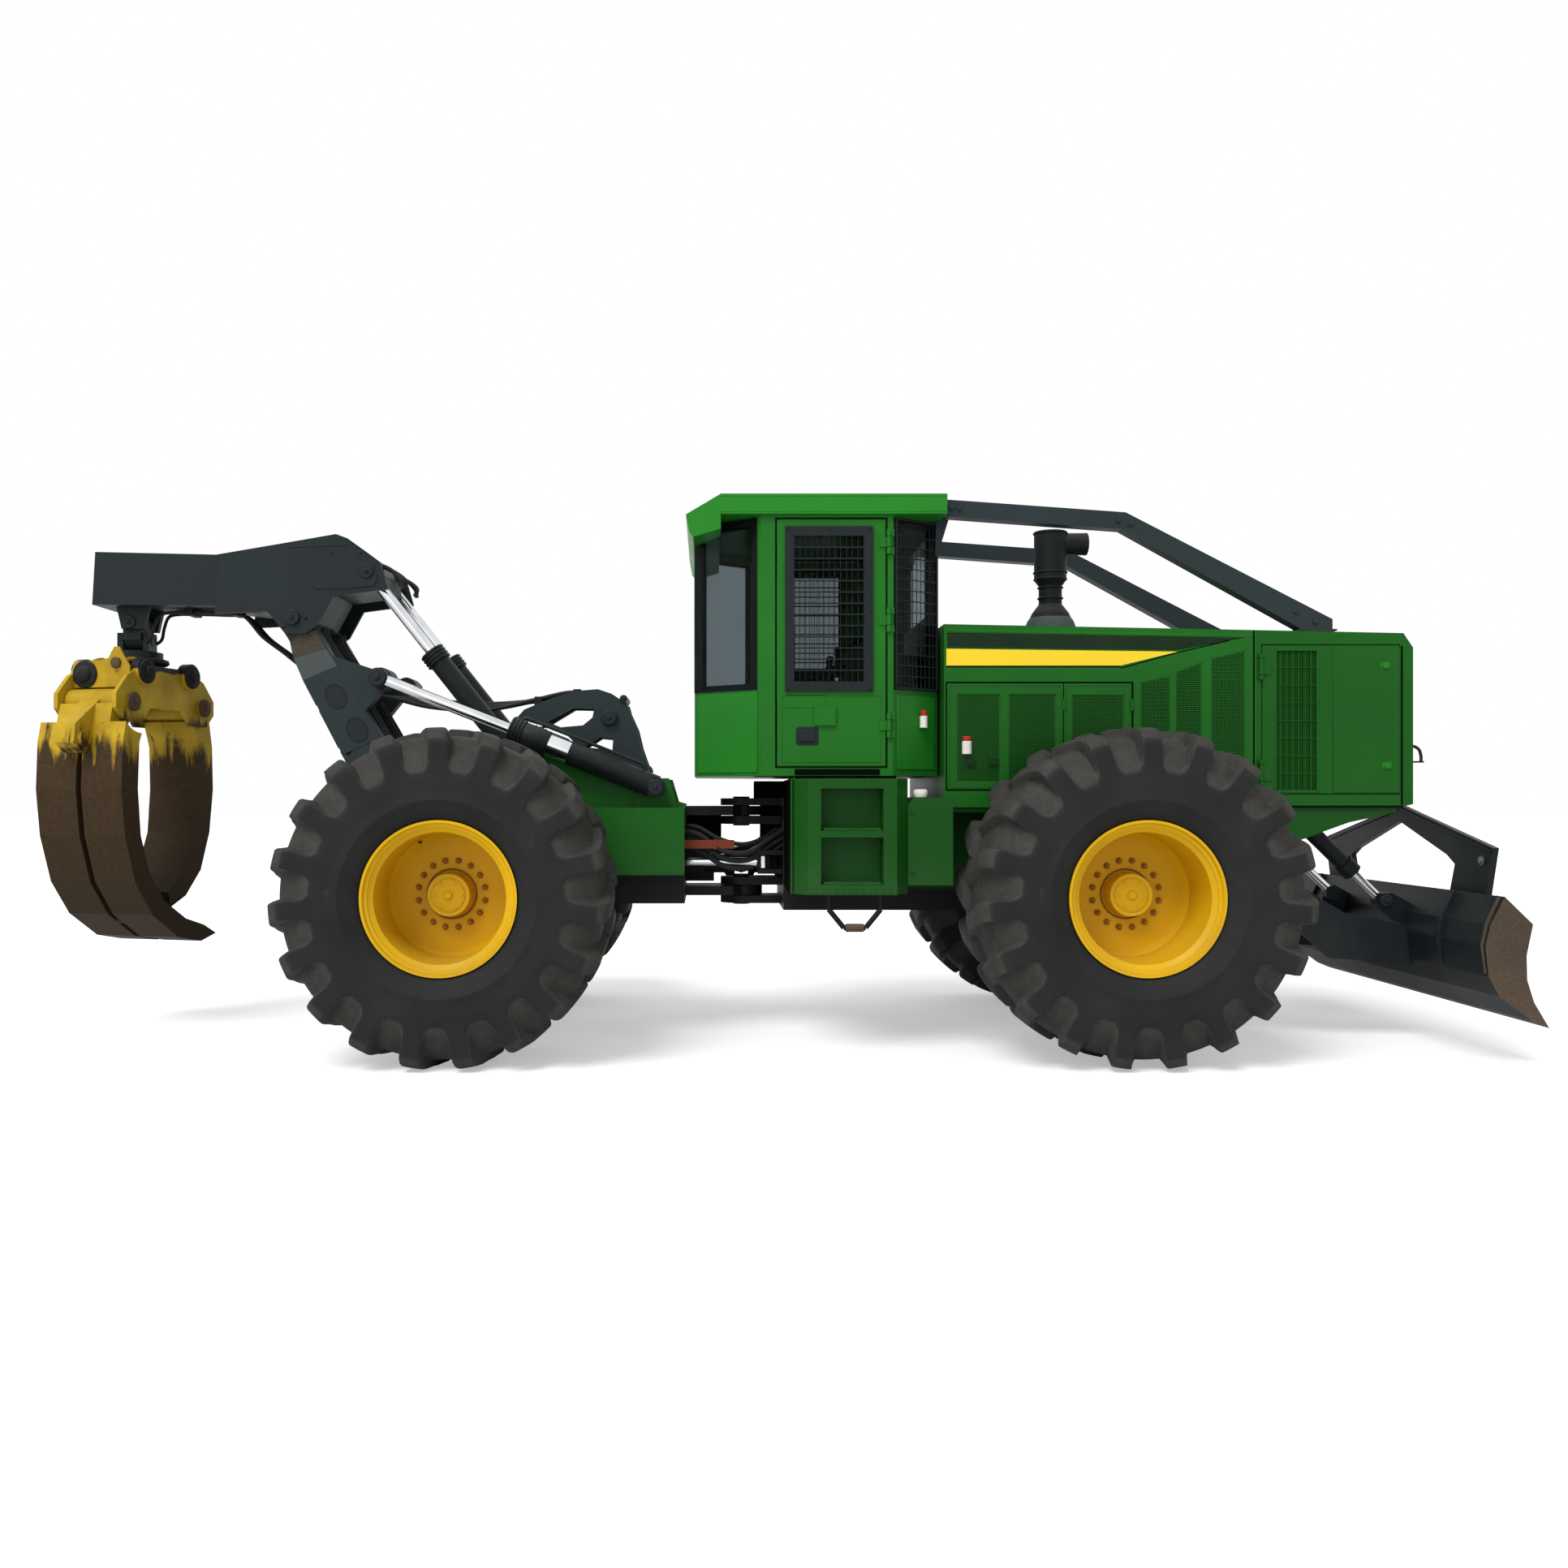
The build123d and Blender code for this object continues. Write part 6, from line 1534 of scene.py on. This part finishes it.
class SKIDDER_OT_hoses(bpy.types.Operator):
    """Hoses from the tower along the arch and boom and across the frame hinge, and the drive shaft there."""

    bl_idname = "skidder.hoses"
    bl_label = "Hoses"

    def execute(self, context):
        radius = context.scene.skidder_sizes.hose_radius
        block, clamps, cross, webs, cover, plate = meshes(6)
        for index in range(5):
            lift = 0.012 * ((index * 2) % 5)
            crossing_hose(f"tower_hose_{index + 1}", TOWER_ROUTE, 0.038 * (index - 2), lift, radius,
                          ("rear_frame", 0.30, 2.2), ("arch", -0.70, 2.2))
        slab(block, (-0.955, -0.800), (-0.15, 0.15), (2.085, 2.125))
        piece("arch_hose_block", block, "iron", "arch", 0.003)
        for index in range(4):
            crossing_hose(f"boom_hose_{index + 1}", BOOM_ROUTE, 0.040 * (index - 1.5), 0, radius * 0.9,
                          ("arch", -1.02, 2.2), ("boom", -1.55, 2.72))
        for x in (-1.68, -1.98):
            slab(clamps, (x, x + 0.05), (-0.09, 0.09), (2.768, 2.812))
        piece("boom_hose_clamps", clamps, "iron", "boom", 0.003)
        for index, sign in enumerate((-1, 1)):
            crossing_hose(f"crosshead_hose_{index + 1}", CROSSHEAD_ROUTE, sign * 0.045, 0, radius * 0.8,
                          ("boom", -2.12, 2.78), ("crosshead", -2.24, 2.60))
        for index in range(4):
            y = -0.20 + index * 0.035
            crossing_hose(f"hinge_hose_{index + 1}", HINGE_ROUTE, y, 0, radius, *HINGE_BLEND)
        for index in range(6):
            row = index // 2
            y = (0.345 - 0.028 * row) * (1 if index % 2 else -1)
            crossing_hose(f"side_hinge_hose_{index + 1}", SIDE_HINGE_ROUTE, y, -0.05 * row, radius * 1.25,
                          *HINGE_BLEND)
        for name, start, end in (("rear", 1.345, 1.700), ("front", 2.015, 1.790)):
            shaft = bmesh.new()
            turned(shaft, at(start, 0, SHAFT_Z), at(end, 0, SHAFT_Z), SHAFT_PROFILE, 32)
            piece(f"{name}_drive_shaft", shaft, "iron", f"{name}_frame", 0.002)
        turned(cross, at(1.745, -0.085, SHAFT_Z), at(1.745, 0.085, SHAFT_Z),
               [(0, 0.030), (0.2, 0.036), (0.8, 0.036), (1, 0.030)], 20)
        turned(cross, at(1.700, 0, SHAFT_Z), at(1.790, 0, SHAFT_Z), [(0, 0.05), (0.5, 0.062), (1, 0.05)], 20)
        piece("drive_shaft_cross", cross, "iron", "rear_frame")
        for sign in (1, -1):
            side_outline(webs, HINGE_WEB, *outward(sign, 0.165, 0.180))
        slab(webs, (1.368, 1.50), (-0.165, 0.165), (1.320, 1.335))
        piece("hinge_webs", webs, "iron", "rear_frame", 0.003)
        # Painted shade: the cover and the middle plate at the hinge are black like the frames' paint there.
        slab(cover, (1.98, 2.009), (-0.29, 0.29), (1.02, 1.36))
        slab(cover, (1.870, 2.009), (-0.008, 0.008), (1.170, 1.500))
        slab(cover, (1.830, 2.009), (-0.060, 0.060), (1.530, 1.655))
        piece("front_bulkhead_cover", cover, "gap", "front_frame", 0.003)
        slab(plate, (1.371, 1.610), (-0.008, 0.008), (1.170, 1.470))
        slab(plate, (1.371, 1.560), (-0.300, -0.292), (1.000, 1.060))
        piece("hinge_middle_plate", plate, "gap", "rear_frame", 0.003)
        # Steel pipes along the arch cylinders
        base, eye = [Vector(place) for place in CYLINDERS[1][1:3]]
        along = (eye - base).normalized()
        below = Vector((along.y, -along.x))
        for side, sign in SIDES:
            pipe = bmesh.new()
            places = [base + along * share + below * out for share, out in PIPE_ROUTE]
            tube(pipe, smooth_path([at(p.x, sign * CYLINDERS[1][3], p.y) for p in places], 5), 0.011)
            piece(f"arch_cylinder_pipe_{side}", pipe, "charcoal", "arch_cylinder_barrels")
        return {"FINISHED"}


BLADE_RIB = [(6.085, 0.972), (6.012, 0.812), (5.986, 0.694), (6.004, 0.53), (5.985, 0.53), (5.962, 0.70),
             (5.99, 0.83), (6.065, 0.985)]
GUARD_FLANGE = ((0.03, 1.472), (1.110, 1.232), (1.106, 1.214), (0.03, 1.454))
EDGE_BOLTS, EDGE_BOLT_PITCH = 14, 0.2


class SKIDDER_OT_blade(bpy.types.Operator):
    """Ribs, guard flange, cutting edge bolts and guard bolts of the blade."""

    bl_idname = "skidder.blade"
    bl_label = "Blade fittings"

    def execute(self, context):
        ribs, bolts, edge = meshes(3)
        for sign in (1, -1):
            for near, far in ((0.90, 0.925), (1.385, 1.400)):
                side_outline(ribs, BLADE_RIB, *outward(sign, near, far))
            for x, way in ((6.190, -1), (6.225, 1)):
                bolt_head(bolts, at(x, sign * 1.00, 1.165), (way, 0, 0), 0.020, 0.016)
            prism(ribs, [(sign * y, z) for y, z in GUARD_FLANGE], "x", AXLE_X + 6.182, AXLE_X + 6.191)
        for index in range(EDGE_BOLTS):
            y = EDGE_BOLT_PITCH * (index - (EDGE_BOLTS - 1) / 2)
            bolt_head(edge, at(6.302, y, 0.318), (0.82, 0, 0.55), 0.018, 0.012)
        pieces("blade",
               ("blade_ribs", ribs, "blade", 0.003),
               ("blade_guard_bolts", bolts, "zinc", 0.0),
               ("cutting_edge_bolts", edge, "brown", 0.0))
        return {"FINISHED"}


GRAPPLE_X = -2.335
GRAPPLE_TURN = math.radians(75)
END_PLATE = ((-0.215, 2.262), (0.215, 2.262), (0.235, 2.345), (0.205, 2.440), (0.020, 2.440), (-0.055, 2.452),
             (-0.098, 2.525), (-0.136, 2.525), (-0.178, 2.452), (-0.215, 2.400))
STRAP_ROUTE = ((-0.36, 2.36), (-0.30, 2.43), (-0.20, 2.46), (-0.12, 2.44))


def in_grapple(u, v, z):
    """A place in the grapple's own directions: u across its opening and v along its pins."""
    return at(GRAPPLE_X + u * math.cos(GRAPPLE_TURN) - v * math.sin(GRAPPLE_TURN),
              u * math.sin(GRAPPLE_TURN) + v * math.cos(GRAPPLE_TURN), z)


class SKIDDER_OT_grapple(bpy.types.Operator):
    """Pin caps, bosses, collar, straps and end plates of the grapple."""

    bl_idname = "skidder.grapple"
    bl_label = "Grapple fittings"

    def execute(self, context):
        caps, bosses, collar, straps, plates = meshes(5)
        centre = in_grapple(0, 0, 0)
        for sign in (1, -1):
            out = sign * (in_grapple(0, 1, 0) - centre)
            for u in (-0.375, 0.375):
                place = in_grapple(u, sign * 0.256, 2.165)
                turned(caps, place, place + out * 0.018, [(0, 0.062), (0.7, 0.062), (1, 0.052)], 28)
                bolt_head(caps, place + out * 0.018, out, 0.014, 0.012)
            for u in (-0.240, 0.240):
                place = in_grapple(u, sign * 0.254, 2.370)
                turned(bosses, place, place + out * 0.02, [(0, 0.080), (0.6, 0.078), (1, 0.06)], 32)
                turned(bosses, place, place + out * 0.034, [(0, 0.034), (0.8, 0.034), (1, 0.028)])
            tube(straps, smooth_path([in_grapple(u, sign * 0.12, z) for u, z in STRAP_ROUTE], 5), 0.014, 8)
            away = sign * (in_grapple(1, 0, 0) - centre)
            near = [in_grapple(sign * 0.345, sign * -v, z) for v, z in END_PLATE]
            lofted(plates, near, [place + away * 0.016 for place in near])
            pin = in_grapple(sign * 0.361, sign * 0.117, 2.420)
            turned(caps, pin, pin + away * 0.02, [(0, 0.036), (0.7, 0.036), (1, 0.026)])
            boss = in_grapple(sign * 0.361, sign * -0.120, 2.350)
            step = boss + away * 0.016
            turned(bosses, boss, step, [(0, 0.092), (0.6, 0.090), (1, 0.078)], 36)
            turned(bosses, step, step + away * 0.026, [(0, 0.055), (0.5, 0.050), (1, 0.030)], 28)
        turned(collar, centre + Vector((0, 0, 2.436)), centre + Vector((0, 0, 2.478)),
               [(0, 0.190), (0.3, 0.205), (0.8, 0.200), (1, 0.175)], 40)
        for a, b in circle(10, 0.140):
            bolt_head(collar, centre + Vector((a, b, 2.475)), (0, 0, 1), 0.011, 0.012)
        pieces("grapple_head",
               ("grapple_end_plates", plates, "strap", 0.003),
               ("grapple_pin_caps", caps, "brown", 0.0),
               ("grapple_bosses", bosses, "iron", 0.0),
               ("grapple_collar", collar, "iron", 0.0),
               ("grapple_straps", straps, "worn", 0.0))
        return {"FINISHED"}


STEPS = [SKIDDER_OT_stage, SKIDDER_OT_solids, SKIDDER_OT_tyres, SKIDDER_OT_wheels, SKIDDER_OT_hood,
         SKIDDER_OT_cooler, SKIDDER_OT_cab, SKIDDER_OT_controls, SKIDDER_OT_steps, SKIDDER_OT_guards,
         SKIDDER_OT_linkage, SKIDDER_OT_hoses, SKIDDER_OT_blade, SKIDDER_OT_grapple]


class SKIDDER_PT_panel(bpy.types.Panel):
    """Sizes, colours and one button for each group of pieces."""

    bl_idname = "SKIDDER_PT_panel"
    bl_label = "Grapple Skidder"
    bl_space_type = "VIEW_3D"
    bl_region_type = "UI"
    bl_category = "Skidder"

    def draw(self, context):
        for name in ("skidder_sizes", "skidder_colours"):
            group = getattr(context.scene, name)
            for key in group.bl_rna.properties.keys():
                if key not in ("rna_type", "name"):
                    self.layout.prop(group, key)
        for kind in STEPS:
            self.layout.operator(kind.bl_idname)


CLASSES = [SkidderSizes, SkidderColours, *STEPS, SKIDDER_PT_panel]


def register():
    """Adds the classes and the two groups of properties."""
    for kind in CLASSES:
        bpy.utils.register_class(kind)
    bpy.types.Scene.skidder_sizes = bpy.props.PointerProperty(type=SkidderSizes)
    bpy.types.Scene.skidder_colours = bpy.props.PointerProperty(type=SkidderColours)


def unregister():
    """Takes the properties and the classes away again."""
    del bpy.types.Scene.skidder_colours
    del bpy.types.Scene.skidder_sizes
    for kind in reversed(CLASSES):
        bpy.utils.unregister_class(kind)


def main():
    """Builds the whole finish in order."""
    register()
    bpy.context.view_layer.update()
    make_materials()
    for kind in STEPS:
        getattr(bpy.ops.skidder, kind.bl_idname.removeprefix("skidder."))()


if __name__ == "__main__":
    main()
